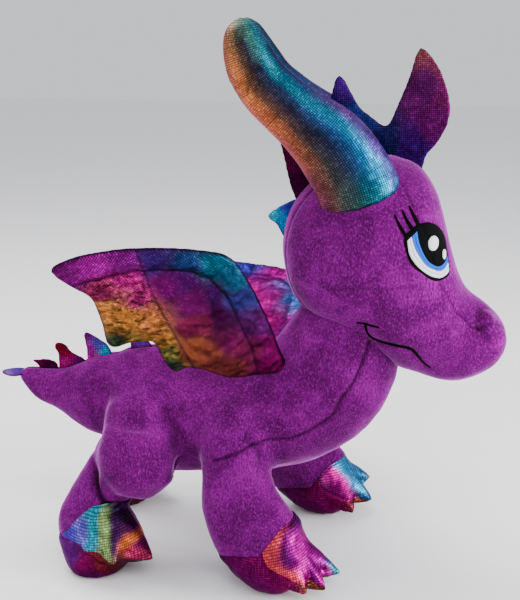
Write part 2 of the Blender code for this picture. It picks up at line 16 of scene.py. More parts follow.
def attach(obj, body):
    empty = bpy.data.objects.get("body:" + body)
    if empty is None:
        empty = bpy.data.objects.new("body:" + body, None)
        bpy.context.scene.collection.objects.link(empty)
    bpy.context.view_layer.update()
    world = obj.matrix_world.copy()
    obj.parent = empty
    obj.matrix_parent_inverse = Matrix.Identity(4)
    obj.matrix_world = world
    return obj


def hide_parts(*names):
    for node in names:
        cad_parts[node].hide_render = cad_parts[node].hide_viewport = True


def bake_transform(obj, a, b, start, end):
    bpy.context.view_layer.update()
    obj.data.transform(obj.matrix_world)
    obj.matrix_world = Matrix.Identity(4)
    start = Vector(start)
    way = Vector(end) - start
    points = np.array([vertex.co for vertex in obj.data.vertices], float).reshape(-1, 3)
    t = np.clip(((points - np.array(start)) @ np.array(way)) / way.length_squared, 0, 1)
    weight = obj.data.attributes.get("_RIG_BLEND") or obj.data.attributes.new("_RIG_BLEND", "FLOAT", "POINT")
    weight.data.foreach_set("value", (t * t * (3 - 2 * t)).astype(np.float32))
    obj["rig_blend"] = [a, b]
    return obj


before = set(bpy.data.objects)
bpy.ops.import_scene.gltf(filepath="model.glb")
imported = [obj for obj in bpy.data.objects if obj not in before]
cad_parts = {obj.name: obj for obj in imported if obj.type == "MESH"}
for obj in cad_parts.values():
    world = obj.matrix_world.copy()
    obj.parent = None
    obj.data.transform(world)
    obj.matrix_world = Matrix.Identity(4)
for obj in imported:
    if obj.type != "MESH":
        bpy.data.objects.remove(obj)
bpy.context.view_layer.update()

MM = 0.001
SHIFT = np.array([13.9, -24.1, 0.0])      # from the dragon's own frame to the shared frame
RIGHT, LEFT = -1, 1
SIDE_NAMES = {RIGHT: "right", LEFT: "left"}
KINDS = ("front", "hind")
NECK = np.array([62.0, 0.0, 178.0])
HEAD_TURN = math.radians(9)
WING_ROOT = np.array([16.0, 27.0, 148.0])
WING_YAW = math.radians(20)
WING_LIFT = {RIGHT: math.radians(66), LEFT: math.radians(16)}
HORN_SIDE = 28.0
SHOULDER_SIDE = 34.0
FOOT_SIDE = {
    ("front", RIGHT): 54.0, ("front", LEFT): 74.0, ("hind", RIGHT): 54.0, ("hind", LEFT): 56.0,
}
STRIDE = {("front", RIGHT): 0.0, ("front", LEFT): 17.0, ("hind", RIGHT): 0.0, ("hind", LEFT): -22.0}

PLUSH_VOXEL = 3.2
FOIL_VOXEL = 2.0
FINE_VOXEL = 1.6                          # feet and wings
PLATE_VOXEL = 1.2                         # crest, spikes and fin
WEAVE_PITCH = 1.35
CLOTH_FRAMES = 20
TINY = 1e-3
CLEAR_OF_FLOOR = 0.15
THINNEST = 0.3                            # least half size of a lofted form

# Profiles: x, z, half height, half width (half sizes across the centre line)
TORSO = [
    (-106, 111, 0, 0), (-103, 111, 31, 26), (-96, 110.5, 39.5, 35), (-72, 106, 46, 41),
    (-38, 106, 44, 43), (-4, 107, 41, 43), (24, 114.5, 41, 42), (44, 132, 44, 40),
    (56, 154, 42, 38), (62, 177, 36.5, 36), (62, 192, 30, 30), (62, 203, 0, 0),
]
TAIL = [
    (-88, 111, 0, 0), (-95, 111.5, 27, 22), (-108, 112, 31.5, 27), (-121, 112, 29.5, 26),
    (-131, 112, 25.5, 23), (-150, 114, 16, 15.5), (-165, 117, 12, 12), (-176, 121, 8, 8),
    (-183, 123.5, 4, 4), (-186, 124, 0, 0),
]
FRONT_LEG = [
    (-9, 132.5, 0, 0), (-9, 126, 15.5, 14), (-9, 110, 22.5, 21.5), (-9, 92, 22.5, 22),
    (-7.5, 74, 23.5, 22), (-3, 55, 27, 23), (8, 39, 29.5, 24), (24, 23.5, 27, 26),
    (39, 16, 21, 25), (51, 12.5, 14, 20), (57, 11, 0, 0),
]
HIND_LEG = [
    (-78, 131, 0, 0), (-78, 122, 19, 16), (-78, 104, 27, 23), (-79, 87, 28, 24),
    (-89, 69, 26.5, 24), (-104, 53, 25, 23), (-109, 38, 25, 23), (-108, 20, 23.5, 23),
    (-105, 2, 19, 19), (-104, -6, 0, 0),
]
# Head: forward of the neck pivot, z, half height, half width
HEAD = [
    (-45.5, 232, 0, 0), (-43, 231, 17, 17), (-36, 230, 34, 31), (-22, 231, 48, 45),
    (-4, 231, 59, 54), (14, 228.5, 65.5, 57), (32, 221, 71, 54), (48, 214, 70, 47),
    (60, 200.5, 60.5, 39), (70, 181.5, 43.5, 33), (80, 171, 32, 29.5), (92, 169, 25, 26),
    (102, 168, 17, 20), (107.5, 168, 8, 11), (109.5, 168, 0, 0),
]
HORN = [
    (6, 266, 25, 20), (1, 281, 26, 21), (-13, 302, 24.5, 21), (-29.5, 316.5, 21, 19.5),
    (-43.5, 328, 18.5, 18), (-57, 340.5, 17.5, 17), (-65, 354, 16.5, 16),
    (-69.5, 366.5, 13.5, 13.5), (-71, 376.5, 9, 9), (-71.5, 382.5, 0, 0),
]
# Flat outlines and seams: along the wing and up it, or x and z
WING = [
    (-10, 1), (-2, 18), (7, 43), (19, 71), (29, 90), (35, 97), (43, 101), (68, 105), (97, 106),
    (120, 103), (136, 98), (144, 91), (131, 78), (124, 73), (119, 66), (114, 46),
    (112, 32), (107, 28), (99, 31), (89, 32), (81, 30), (75, 14), (68, 4), (61, 7),
    (50, 5), (40, 0), (29, -4), (10, -2),
]
WING_BAND = [(138, 79), (130, 81.5), (114, 85.5), (93.5, 91), (72.7, 91), (57.4, 88.3), (46.8, 82.7),
             (35.4, 67.5), (25.9, 44.4), (16.6, 21), (10.7, -4)]
BEYOND_BAND = [(0, -10), (-12, 0), (-4, 30), (20, 92), (40, 112), (100, 116), (150, 104), (156, 86)]
WING_RIB = [(93, 108), (88, 90), (84, 76), (76, 54), (67, 33.5), (50, -6)]
HEAD_CREST = [
    (46, 270), (48, 291), (56, 302), (62, 314), (63, 326), (60, 338), (54, 351), (43, 362),
    (37, 344), (30, 326), (23, 312), (12, 318), (3, 326), (-9, 345), (-15, 326), (-22, 306),
    (-34, 309), (-48, 311), (-44, 290), (-37, 265), (-24, 255), (10, 268),
]
NAPE_SPIKE = [(-34, 264), (-43, 260), (-55, 252), (-49, 246), (-43, 236), (-34, 238)]
SPINES = {
    "back_spine_1": [(-48, 145), (-58, 158), (-70, 169), (-73, 158), (-76, 145)],
    "back_spine_2": [(-76, 145), (-84, 156), (-95, 166), (-96, 154), (-94, 143)],
    "tail_spine_1": [(-110, 138), (-113, 148), (-121, 154), (-131, 158), (-130, 148), (-128, 132)],
    "tail_spine_2": [(-131, 130), (-132, 137), (-142, 142), (-147, 147.5), (-152.5, 149),
                     (-155, 145.5), (-152, 140.5), (-150, 125)],
    "tail_spine_3": [(-155, 122), (-153.5, 131), (-157, 134.5), (-164, 135), (-173, 134),
                     (-168, 130.5), (-166, 122)],
}
FIN_HEIGHT = 123.7
TAIL_FIN = [(-176, 0), (-184, 8), (-192, 7), (-198, 0), (-192, -7), (-184, -8)]


# ---------------------------------------------------------------- small tools

def smooth_rows(rows, steps):
    """Catmull-Rom points through a table's rows."""
    rows = [np.array(row, float) for row in rows]
    out = []
    for i in range(len(rows) - 1):
        a, b, c, d = rows[max(i - 1, 0)], rows[i], rows[i + 1], rows[min(i + 2, len(rows) - 1)]
        for k in range(steps):
            t = k / steps
            out.append(0.5 * (2 * b + (c - a) * t + (2 * a - 5 * b + 4 * c - d) * t ** 2
                              + (3 * b - a - 3 * c + d) * t ** 3))
    out.append(rows[-1])
    return out


def bridged(rings):
    """Faces between neighbouring rings of point numbers; a ring of one point closes an end."""
    sides = max(len(ring) for ring in rings)
    faces = []
    for low, up in zip(rings, rings[1:]):
        for k in range(sides):
            corners = [low[k % len(low)], low[(k + 1) % len(low)], up[(k + 1) % len(up)], up[k % len(up)]]
            faces.append(list(dict.fromkeys(corners)))
    return faces


def loft(rows, sides=28, steps=3, grow=0.0, upright=False):
    """A closed form along a path in the XZ plane; rows are x, z, half height, half width, y.

    Its rings stand across the path, or upright if asked, and grow is added to each half size.
    """
    rows = [tuple(row) + (0.0,) * (5 - len(row)) for row in rows]
    rows = smooth_rows(rows, steps)
    points, rings = [], []
    for i, (x, z, high, wide, y) in enumerate(rows):
        before, after = rows[max(i - 1, 0)], rows[min(i + 1, len(rows) - 1)]
        along = np.array([after[0] - before[0], 0, after[1] - before[1]])
        along = np.array([1.0, 0, 0]) if upright else along / np.linalg.norm(along)
        across = np.array([-along[2], 0, along[0]])
        centre = np.array([x, y, z])
        if i in (0, len(rows) - 1) and high <= 0.01:
            points.append(centre + along * grow * (1 if i else -1))
            rings.append([len(points) - 1])
            continue
        ring = []
        for k in range(sides):
            angle = 2 * math.pi * k / sides
            points.append(centre + across * max(high + grow, THINNEST) * math.cos(angle)
                          + np.array([0, max(wide + grow, THINNEST) * math.sin(angle), 0]))
            ring.append(len(points) - 1)
        rings.append(ring)
    faces = bridged(rings)
    for end in (rings[0], rings[-1]):
        if len(end) > 1:
            faces.append(end)
    return np.array(points), faces


def tube(path, radii, sides=20):
    """A closed round form along a path of points."""
    path = [np.array(p, float) for p in path]
    points, rings = [path[0]], [[0]]
    side = None
    for i, (centre, radius) in enumerate(zip(path, radii)):
        along = path[min(i + 1, len(path) - 1)] - path[max(i - 1, 0)]
        along /= np.linalg.norm(along)
        if side is None:
            side = np.cross(along, [0, 0, 1.0] if abs(along[2]) < 0.9 else [1.0, 0, 0])
        side = side - along * (side @ along)
        side /= np.linalg.norm(side)
        other = np.cross(along, side)
        ring = []
        for k in range(sides):
            angle = 2 * math.pi * k / sides
            points.append(centre + radius * (side * math.cos(angle) + other * math.sin(angle)))
            ring.append(len(points) - 1)
        rings.append(ring)
    points.append(path[-1])
    rings.append([len(points) - 1])
    return np.array(points), bridged(rings)


def make_object(name, forms):
    """One object from several (points, faces) forms in millimetres."""
    points, faces, count = [], [], 0
    for form_points, form_faces in forms:
        points.append(form_points)
        faces += [[i + count for i in face] for face in form_faces]
        count += len(form_points)
    mesh = bpy.data.meshes.new(name)
    mesh.from_pydata((np.vstack(points) * MM).tolist(), [], faces)
    obj = bpy.data.objects.new(name, mesh)
    bpy.context.scene.collection.objects.link(obj)
    return obj


def applied(obj):
    """Apply every modifier on an object."""
    graph = bpy.context.evaluated_depsgraph_get()
    mesh = bpy.data.meshes.new_from_object(obj.evaluated_get(graph))
    obj.modifiers.clear()
    old = obj.data
    obj.data = mesh
    bpy.data.meshes.remove(old)
    return obj


def remesh(obj, voxel, smooth):
    """Merge an object's overlapping forms into one smooth skin."""
    modifier = obj.modifiers.new("voxel", "REMESH")
    modifier.mode = "VOXEL"
    modifier.voxel_size = voxel * MM
    modifier = obj.modifiers.new("smooth", "SMOOTH")
    modifier.factor = 0.5
    modifier.iterations = smooth
    return applied(obj)


def divided(obj):
    """Split every face of an object in four, rounding it."""
    modifier = obj.modifiers.new("divide", "SUBSURF")
    modifier.levels = 1
    return applied(obj)


def inflate(obj, pressure, cap, held, slack=0.0):
    """Fill a sewn skin with air as cloth.

    Held points stay, no point moves more than cap millimetres, and slack is the share by which
    the cloth is larger than its outline.
    """
    rest = coords(obj)
    group = obj.vertex_groups.new(name="held")
    group.add(np.flatnonzero(held).tolist(), 1.0, "REPLACE")
    modifier = obj.modifiers.new("cloth", "CLOTH")
    cloth = modifier.settings
    cloth.quality = 5
    cloth.mass = 0.15
    cloth.tension_stiffness = 25
    cloth.compression_stiffness = 25
    cloth.shear_stiffness = 8
    cloth.bending_stiffness = 1.0
    cloth.use_pressure = True
    cloth.uniform_pressure_force = pressure
    cloth.effector_weights.gravity = 0
    cloth.vertex_group_mass = "held"
    cloth.shrink_min = -slack
    modifier.point_cache.frame_start = 1
    modifier.point_cache.frame_end = CLOTH_FRAMES
    for frame_number in range(1, CLOTH_FRAMES + 1):
        bpy.context.scene.frame_set(frame_number)
    applied(obj)
    bpy.context.scene.frame_set(1)
    moved = coords(obj) - rest
    length = np.maximum(np.linalg.norm(moved, axis=1), 1e-6)
    set_coords(obj, rest + moved * np.minimum(cap / length, 1.0)[:, None])
    return obj


def fetch(items, name, width, kind=np.float32):
    """One named value of every item in a mesh's data, as rows of numbers."""
    flat = np.empty(len(items) * width, kind)
    items.foreach_get(name, flat)
    return flat.reshape(-1, width)


def store(items, name, rows):
    """Set one named value of every item in a mesh's data."""
    items.foreach_set(name, rows.astype(np.float32).ravel())


def coords(obj):
    """An object's points in millimetres."""
    return fetch(obj.data.vertices, "co", 3).astype(float) / MM


def set_coords(obj, points):
    """Move an object's points to places in millimetres."""
    store(obj.data.vertices, "co", points * MM)
    obj.data.update()


def normals(obj):
    """The direction that the skin faces at each of an object's points."""
    return fetch(obj.data.vertices, "normal", 3).astype(float)


def bell(distance, reach):
    """1 at distance 0, falling smoothly towards 0 beyond reach."""
    return np.exp(-(distance / reach) ** 2)


def to_path(points, path):
    """Each point's distance to a line of points, in any number of dimensions."""
    path = np.array(path, float)
    best = np.full(len(points), 1e9)
    for a, b in zip(path, path[1:]):
        ab = b - a
        t = np.clip(((points - a) @ ab) / max(ab @ ab, 1e-9), 0, 1)
        best = np.minimum(best, np.linalg.norm(points - a - t[:, None] * ab, axis=1))
    return best


def inside(points, outline):
    """Which 2-D points lie inside an outline."""
    x, y = points[:, 0], points[:, 1]
    found = np.zeros(len(points), bool)
    for (ax, ay), (bx, by) in zip(outline, outline[1:] + outline[:1]):
        crosses = (ay > y) != (by > y)
        with np.errstate(divide="ignore", invalid="ignore"):
            edge = ax + (y - ay) / (by - ay) * (bx - ax)
        found ^= crosses & (x < edge)
    return found


def cloud(points, size, seed=0.0):
    """Smooth noise from -1 to 1 at each point."""
    offset = Vector((seed, seed * 0.7, -seed))
    return np.array([noise.noise(Vector(p / size) + offset) for p in points])


def cut_along(obj, field):
    """Cut an object in two where a value per point changes sign; the part above zero comes first.

    The first cut stores the points' normals, so that the parts still shade as one skin.
    """
    bm = bmesh.new()
    bm.from_mesh(obj.data)
    if bm.verts.layers.float_vector.get("shade") is None:
        shade = bm.verts.layers.float_vector.new("shade")
        for vert in bm.verts:
            vert[shade] = vert.normal
    layer = bm.verts.layers.float.get("field") or bm.verts.layers.float.new("field")
    for vert, value in zip(bm.verts, field):
        vert[layer] = value if abs(value) > TINY else TINY
    crossing = [e for e in bm.edges if (e.verts[0][layer] > 0) != (e.verts[1][layer] > 0)]
    fresh = []
    for edge in crossing:
        a, b = edge.verts
        share = a[layer] / (a[layer] - b[layer])
        _, vert = bmesh.utils.edge_split(edge, a, min(max(share, 0.02), 0.98))
        vert[layer] = 0.0
        fresh.append(vert)
    bmesh.ops.connect_verts(bm, verts=fresh)
    halves = []
    for sign in (1, -1):
        half = bm.copy()
        own = half.verts.layers.float["field"]
        drop = [f for f in half.faces if sign * sum(v[own] for v in f.verts) < 0]
        bmesh.ops.delete(half, geom=drop, context="FACES")
        mesh = bpy.data.meshes.new(obj.name)
        half.to_mesh(mesh)
        half.free()
        twin = bpy.data.objects.new(obj.name, mesh)
        bpy.context.scene.collection.objects.link(twin)
        halves.append(twin)
    bm.free()
    bpy.data.objects.remove(obj, do_unlink=True)
    return halves


def dress(obj, name, material, body, stands_for=()):
    """Name and shade a finished piece, and hang it on its body if it has just one."""
    obj.name = name
    mesh = obj.data
    mesh.name = name
    mesh.materials.clear()
    mesh.materials.append(material)
    mesh.shade_smooth()
    shade = mesh.attributes.get("shade")
    if shade:
        directions = fetch(shade.data, "vector", 3).tolist()
        mesh.attributes.remove(shade)
        mesh.normals_split_custom_set_from_vertices(directions)
    if "field" in mesh.attributes:
        mesh.attributes.remove(mesh.attributes["field"])
    for node in stands_for:
        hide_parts(node)
    if body:
        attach(obj, body)
    return obj


def rise(x, low, high):
    """A smooth step from 0 at low to 1 at high."""
    t = np.clip((x - low) / (high - low), 0, 1)
    return t * t * (3 - 2 * t)


# ---------------------------------------------------------------- materials

def nodes_of(name):
    """A new material, its node tree and its shader."""
    material = bpy.data.materials.new(name)
    material.use_nodes = True
    tree = material.node_tree
    return material, tree, tree.nodes["Principled BSDF"]


def add(tree, kind, **settings):
    """A new node with some of its properties set."""
    node = tree.nodes.new(kind)
    for key, value in settings.items():
        setattr(node, key, value)
    return node


def ramp(tree, stops, source):
    """Turn a number into a colour or a grey by stops of (place, colour)."""
    node = tree.nodes.new("ShaderNodeValToRGB")
    while len(node.color_ramp.elements) < len(stops):
        node.color_ramp.elements.new(0.5)
    for element, (place, colour) in zip(node.color_ramp.elements, stops):
        element.position = place
        colour = colour if isinstance(colour, tuple) else (colour,) * 3
        element.color = (*colour, 1)
    tree.links.new(source, node.inputs[0])
    return node.outputs[0]


def math_node(tree, operation, a, b=None):
    """The result of a sum on sockets or numbers; a third term keeps its default of 0.5."""
    node = tree.nodes.new("ShaderNodeMath")
    node.operation = operation
    for socket, value in zip(node.inputs, (a, b)):
        if value is None:
            continue
        if isinstance(value, (int, float)):
            socket.default_value = value
        else:
            tree.links.new(value, socket)
    return node.outputs[0]


def mix(tree, factor, a, b, blend="MIX"):
    """Blend two colours, each a socket or a fixed colour."""
    node = tree.nodes.new("ShaderNodeMix")
    node.data_type = "RGBA"
    node.blend_type = blend
    for socket, value in ((node.inputs[0], factor), (node.inputs[6], a), (node.inputs[7], b)):
        if isinstance(value, (int, float)):
            socket.default_value = value
        elif isinstance(value, tuple):
            socket.default_value = (*value, 1)
        else:
            tree.links.new(value, socket)
    return node.outputs[2]


def noise_of(tree, size, detail, rough, stretch=None, distortion=0.0):
    """Noise in object space; size is in millimetres."""
    place = add(tree, "ShaderNodeTexCoord").outputs["Object"]
    if stretch:
        mapping = add(tree, "ShaderNodeMapping")
        mapping.inputs["Scale"].default_value = stretch
        tree.links.new(place, mapping.inputs["Vector"])
        place = mapping.outputs[0]
    node = add(tree, "ShaderNodeTexNoise")
    node.inputs["Scale"].default_value = 1000.0 / size
    node.inputs["Detail"].default_value = detail
    node.inputs["Roughness"].default_value = rough
    node.inputs["Distortion"].default_value = distortion
    tree.links.new(place, node.inputs["Vector"])
    return node.outputs["Fac"]


def bump(tree, shader, heights):
    """Chain bump nodes; heights holds (source, strength, distance in millimetres)."""
    last = None
    for source, strength, distance in heights:
        node = tree.nodes.new("ShaderNodeBump")
        node.inputs["Strength"].default_value = strength
        node.inputs["Distance"].default_value = distance * MM
        tree.links.new(source, node.inputs["Height"])
        if last:
            tree.links.new(last, node.inputs["Normal"])
        last = node.outputs[0]
    tree.links.new(last, shader.inputs["Normal"])


def plush_material():
    """Short purple pile: broad patches, brushed strokes and single tufts."""
    material, tree, shader = nodes_of("plush_pile")
    patches = noise_of(tree, 26, 2, 0.5, distortion=0.8)
    strokes = noise_of(tree, 13, 3, 0.6, stretch=(1.0, 1.0, 0.7), distortion=1.0)
    grain = noise_of(tree, 1.1, 2, 0.6, stretch=(1.0, 1.0, 0.6))
    colour = ramp(tree, [(0.34, (0.064, 0.0001, 0.064)), (0.50, (0.096, 0.0002, 0.095)),
                         (0.66, (0.142, 0.0012, 0.140))], patches)
    colour = mix(tree, ramp(tree, [(0.32, 0.50), (0.48, 0.0)], strokes), colour, (0.065, 0.0001, 0.068))
    colour = mix(tree, ramp(tree, [(0.52, 0.0), (0.75, 0.28)], strokes), colour, (0.22, 0.007, 0.22))
    colour = mix(tree, ramp(tree, [(0.34, 0.70), (0.50, 0.0)], grain), colour, (0.045, 0.0001, 0.045))
    colour = mix(tree, ramp(tree, [(0.52, 0.0), (0.66, 0.45)], grain), colour, (0.26, 0.012, 0.26))
    # Painted shade in seams, folds, creases and under the thighs, and painted light on faces turned up or
    # forward, multiply the pile's colour
    painted_shading = add(tree, "ShaderNodeVertexColor", layer_name="painted_shading").outputs["Color"]
    colour = mix(tree, 1.0, colour, painted_shading, "MULTIPLY")
    tree.links.new(colour, shader.inputs["Base Color"])
    shader.inputs["Roughness"].default_value = 0.95
    shader.inputs["Specular IOR Level"].default_value = 0.03
    shader.inputs["Sheen Weight"].default_value = 0.75
    shader.inputs["Sheen Roughness"].default_value = 0.28
    shader.inputs["Sheen Tint"].default_value = (0.92, 0.28, 0.95, 1)
    bump(tree, shader, [(strokes, 0.30, 1.2), (grain, 0.60, 0.5)])
    return material


PLUSH = plush_material()


def paint_shading(obj, dark):
    """Store how much darker the pile is at each point, as painted shade in a seam or a fold; below 0 is
    painted light.
    """
    light = 1 - np.clip(dark, -0.3, 1)
    colours = np.stack([light, light, light, np.ones(len(light))], axis=1)
    layer = obj.data.color_attributes.new("painted_shading", "FLOAT_COLOR", "POINT")
    store(layer.data, "color", colours)


# ---------------------------------------------------------------- body skin

# The thigh hangs over a slimmer shank, whose rows replace the leg's at their heights
THIGH = [(-76, 45, 106), (-77, 49, 88), (-76, 53, 73), (-78, 56, 60)]
THIGH_RADII = (24, 28, 27, 14)
SHANK = {69: (-99, 67, 19, 20), 53: (-106, 53, 20, 21)}
LEGS = {"front": FRONT_LEG, "hind": [SHANK.get(row[1], row) for row in HIND_LEG]}
HIP_HEIGHT = {"front": 110.0, "hind": 104.0}


def leg_rows(kind, side):
    """A leg's profile, eased outward and along its stride towards the foot."""
    hip_z = HIP_HEIGHT[kind]
    rows = []
    for x, z, high, wide in LEGS[kind]:
        drop = min(max((hip_z - z) / hip_z, 0.0), 1.0)
        y = side * (SHOULDER_SIDE + (FOOT_SIDE[kind, side] - SHOULDER_SIDE) * min(drop * 1.5, 1.0))
        rows.append((x + STRIDE[kind, side] * drop, z, high, wide, y))
    return rows


TOES = {
    ("front", RIGHT): [(48, -79, 11), (60, -67, 9), (67, -47, 11)],
    ("front", LEFT): [(63, 53, 8), (76, 70, 12), (72, 88, 24)],
    ("hind", RIGHT): [(-105, -83, 27), (-84, -84, 20), (-62, -66, 17)],
    ("hind", LEFT): [(-129, 85, 27), (-108, 86, 20), (-86, 68, 17)],
}
TOE_STEPS = (0, 0.25, 0.5, 0.72, 0.9, 1.0)
TOE_RADII = {"front": (20, 16.5, 12, 7.5, 3.6, 1.0), "hind": (24, 20.5, 15, 9, 4, 1.0)}
TOE_ROOT_LIFT = {"front": 2.0, "hind": 8.0}
TOES_MIDDLE = {"front": 22.0, "hind": -104.0}
TOES_HEIGHT = 24.0
PLUSH_INSIDE_TOES = -0.6


def foot_centre(kind, side):
    """The point that a foot's toes spread from."""
    return np.array([TOES_MIDDLE[kind] + STRIDE[kind, side], side * FOOT_SIDE[kind, side], TOES_HEIGHT])


def toe_forms(kind, side, grow=0.0):
    """Three cones from the middle of a foot out to its pointed toes."""
    forms = []
    foot = foot_centre(kind, side)
    for tip in np.array(TOES[kind, side], float):
        root = foot + (tip - foot) * 0.1 + np.array([0, 0, TOE_ROOT_LIFT[kind]])
        forms.append(tube([root + (tip - root) * t for t in TOE_STEPS], [r + grow for r in TOE_RADII[kind]]))
    return forms


def beyond_tube(points, path, radii):
    """How far outside a round tapering form each point lies."""
    best = np.full(len(points), 1e9)
    for share in np.linspace(0, len(path) - 1, 25):
        centre = [np.interp(share, range(len(path)), [p[k] for p in path]) for k in range(3)]
        radius = np.interp(share, range(len(path)), radii)
        best = np.minimum(best, np.linalg.norm(points - np.array(centre), axis=1) - radius)
    return best


def stand(points, softness=2.0):
    """Flatten what would be under the floor, starting gently at a height of softness."""
    height = points[:, 2]
    eased = np.where(height < softness, softness * np.exp((height - softness) / softness), height)
    points[:, 2] = np.maximum(eased, CLEAR_OF_FLOOR)
    return points


# The belly gusset's seam from rump to throat, closed below the body
BELLY_SEAM = [(-130, 84), (-60, 84), (-20, 92), (7, 103), (30, 105), (41, 110), (58, 123), (64, 136),
              (71, 146), (76, 158), (82, 178), (96, 206)]
BELLY_OUTLINE = BELLY_SEAM + [(160, 215), (160, 20), (-130, 20)]

# Where a leg or the tail starts to bend and where it moves fully, along its own direction
LEG_START, LEG_END = -50.0, -20.0
LEG_SLOPE = np.array([0.45, -0.893])      # outward and down
LEGS_PARTED_AT = -45.0
TAIL_START, TAIL_END = -108.0, -136.0
TAIL_HEIGHT = 112.0

# Folds pressed into the right side of the body and mirrored: path, depth, reach
FOLDS = [
    ([(25, -40, 127), (31, -42, 119), (36, -41, 113)], 1.2, 3.0),
    ([(2, -54, 108), (8, -51.5, 101), (11, -49.6, 92)], 2.2, 3.5),
    ([(-115, 1, 142), (-117, -18, 135), (-117, -23, 128), (-116, -27, 110), (-118, -25, 103)],
     1.0, 1.5),
    ([(-58, -43, 118), (-50, -44, 108), (-49, -42, 96)], 1.6, 3.5),
    ([(-20, -64, 60), (-8, -74, 54), (8, -72, 58)], 0.9, 3.0),
]


def thigh_path(side):
    """The middle line of the stuffed thigh on one side."""
    return [(x + STRIDE["hind", side] * 0.3, side * y, z) for x, y, z in THIGH]


def body_skin():
    """Body, legs and tail as one stuffed skin with its seams, folds and dents."""
    forms = [loft(TORSO, grow=0.9), loft(TAIL, grow=0.7)]
    for side in (RIGHT, LEFT):
        forms += [loft(leg_rows(kind, side), grow=0.9) for kind in KINDS]
        for kind in KINDS:
            forms += toe_forms(kind, side, PLUSH_INSIDE_TOES)
        forms.append(tube(thigh_path(side), THIGH_RADII))
    obj = remesh(make_object("skin", forms), PLUSH_VOXEL, 8)
    obj = divided(inflate(obj, 3.0, 2.0, coords(obj)[:, 2] < 4))
    points = stand(coords(obj))
    out = normals(obj)
    side_line = to_path(points[:, [0, 2]], BELLY_SEAM[2:]) + 40 * (np.abs(points[:, 1]) < 15)
    above = np.where(inside(points[:, [0, 2]], BELLY_OUTLINE), 0.0, 1.0)
    dent = 1.1 * bell(side_line, 1.7) + 0.8 * bell(points[:, 1], 1.5) * above
    lumps = cloud(points, 22.0) * 0.9 + cloud(points, 9.0, 3.0) * 0.35
    # Painted shade along the seam grooves and on faces turned down; painted light on faces turned up
    dark = 0.65 * bell(side_line, 1.2) + 0.45 * bell(points[:, 1], 1.2) * above
    dark += 0.10 - 0.16 * np.clip(out[:, 2], 0, 1) + 0.16 * np.clip(-out[:, 2], 0, 1)
    for path, depth, reach in FOLDS:
        for side in (RIGHT, LEFT):
            near = to_path(points, np.array(path) * np.array([1, -side, 1]))
            dent += depth * bell(near, reach)
            # Painted shade in each fold
            dark += 0.14 * depth * bell(near, reach * 0.8)
    for side in (RIGHT, LEFT):
        gap = beyond_tube(points, thigh_path(side), THIGH_RADII)
        under = bell(gap - 2.0, 2.4) * rise(-points[:, 2], -88, -76) * (points[:, 1] * side > 40)
        dent += 3.5 * under
        # Painted shade in the gap under each thigh
        dark += 0.8 * under
    points += out * (lumps - dent)[:, None]
    paint_shading(obj, dark)
    set_coords(obj, stand(points, 0.5))
    return obj


# The tilted lines where plush legs meet their foil feet, closed below the feet
ANKLES = {
    "front": [(-60, 8), (-24, 20), (-11, 27), (-3, 31), (16, 35), (19, 39), (25, 47), (30, 52),
              (38, 54), (60, 60), (120, 130), (120, -60), (-60, -60)],
    "hind": [(-180, 20), (-137, 24), (-123, 36), (-116, 44), (-109, 51), (-103, 55), (-94, 56.5),
             (-88, 55.5), (-83, 51), (-79, 44), (-60, 34), (-20, 30), (-20, -60), (-180, -60)],
}
ANKLE_STRIDE = {"front": 0.8, "hind": 0.6}
LOWER_ANKLE = {("front", LEFT): 7}


def ankle_outline(kind, side, lift=0.0):
    """The part of the side view that a foil foot covers."""
    moved = STRIDE[kind, side] * ANKLE_STRIDE[kind]
    lift -= LOWER_ANKLE.get((kind, side), 0)
    return [(x + moved, z + lift) for x, z in ANKLES[kind]]


def signed(points, outline):
    """Distance to an outline's edge, positive inside."""
    distance = to_path(points, outline + outline[:1])
    return np.where(inside(points, outline), distance, -distance)


def bend(obj, body, start, end):
    """Blend a piece from the torso to a body between two places in the dragon's own frame."""
    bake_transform(obj, "torso", body, tuple((start + SHIFT) * MM), tuple((end + SHIFT) * MM))


def to_shared_frame(obj):
    """Move a mesh there from the dragon's own frame."""
    obj.data.transform(Matrix.Translation(SHIFT * MM))


def make_leg(leg, kind, side):
    """A plush sleeve, tucked in under its foil foot and cut off a little below the edge."""
    points = coords(leg)
    tucked = rise(signed(points[:, [0, 2]], ankle_outline(kind, side)), -0.8, 2.0)
    set_coords(leg, points - normals(leg) * (2.4 * tucked)[:, None])
    foot, leg = cut_along(leg, signed(points[:, [0, 2]], ankle_outline(kind, side, -4.0)))
    bpy.data.objects.remove(foot, do_unlink=True)
    prefix = f"{SIDE_NAMES[side]}_{kind}_leg"
    dress(leg, prefix + "_plush", PLUSH, None, (prefix + "_cover", prefix + "_stuffing"))
    to_shared_frame(leg)
    direction = np.array([0, LEG_SLOPE[0] * side, LEG_SLOPE[1]])
    bend(leg, prefix, direction * LEG_START, direction * LEG_END)


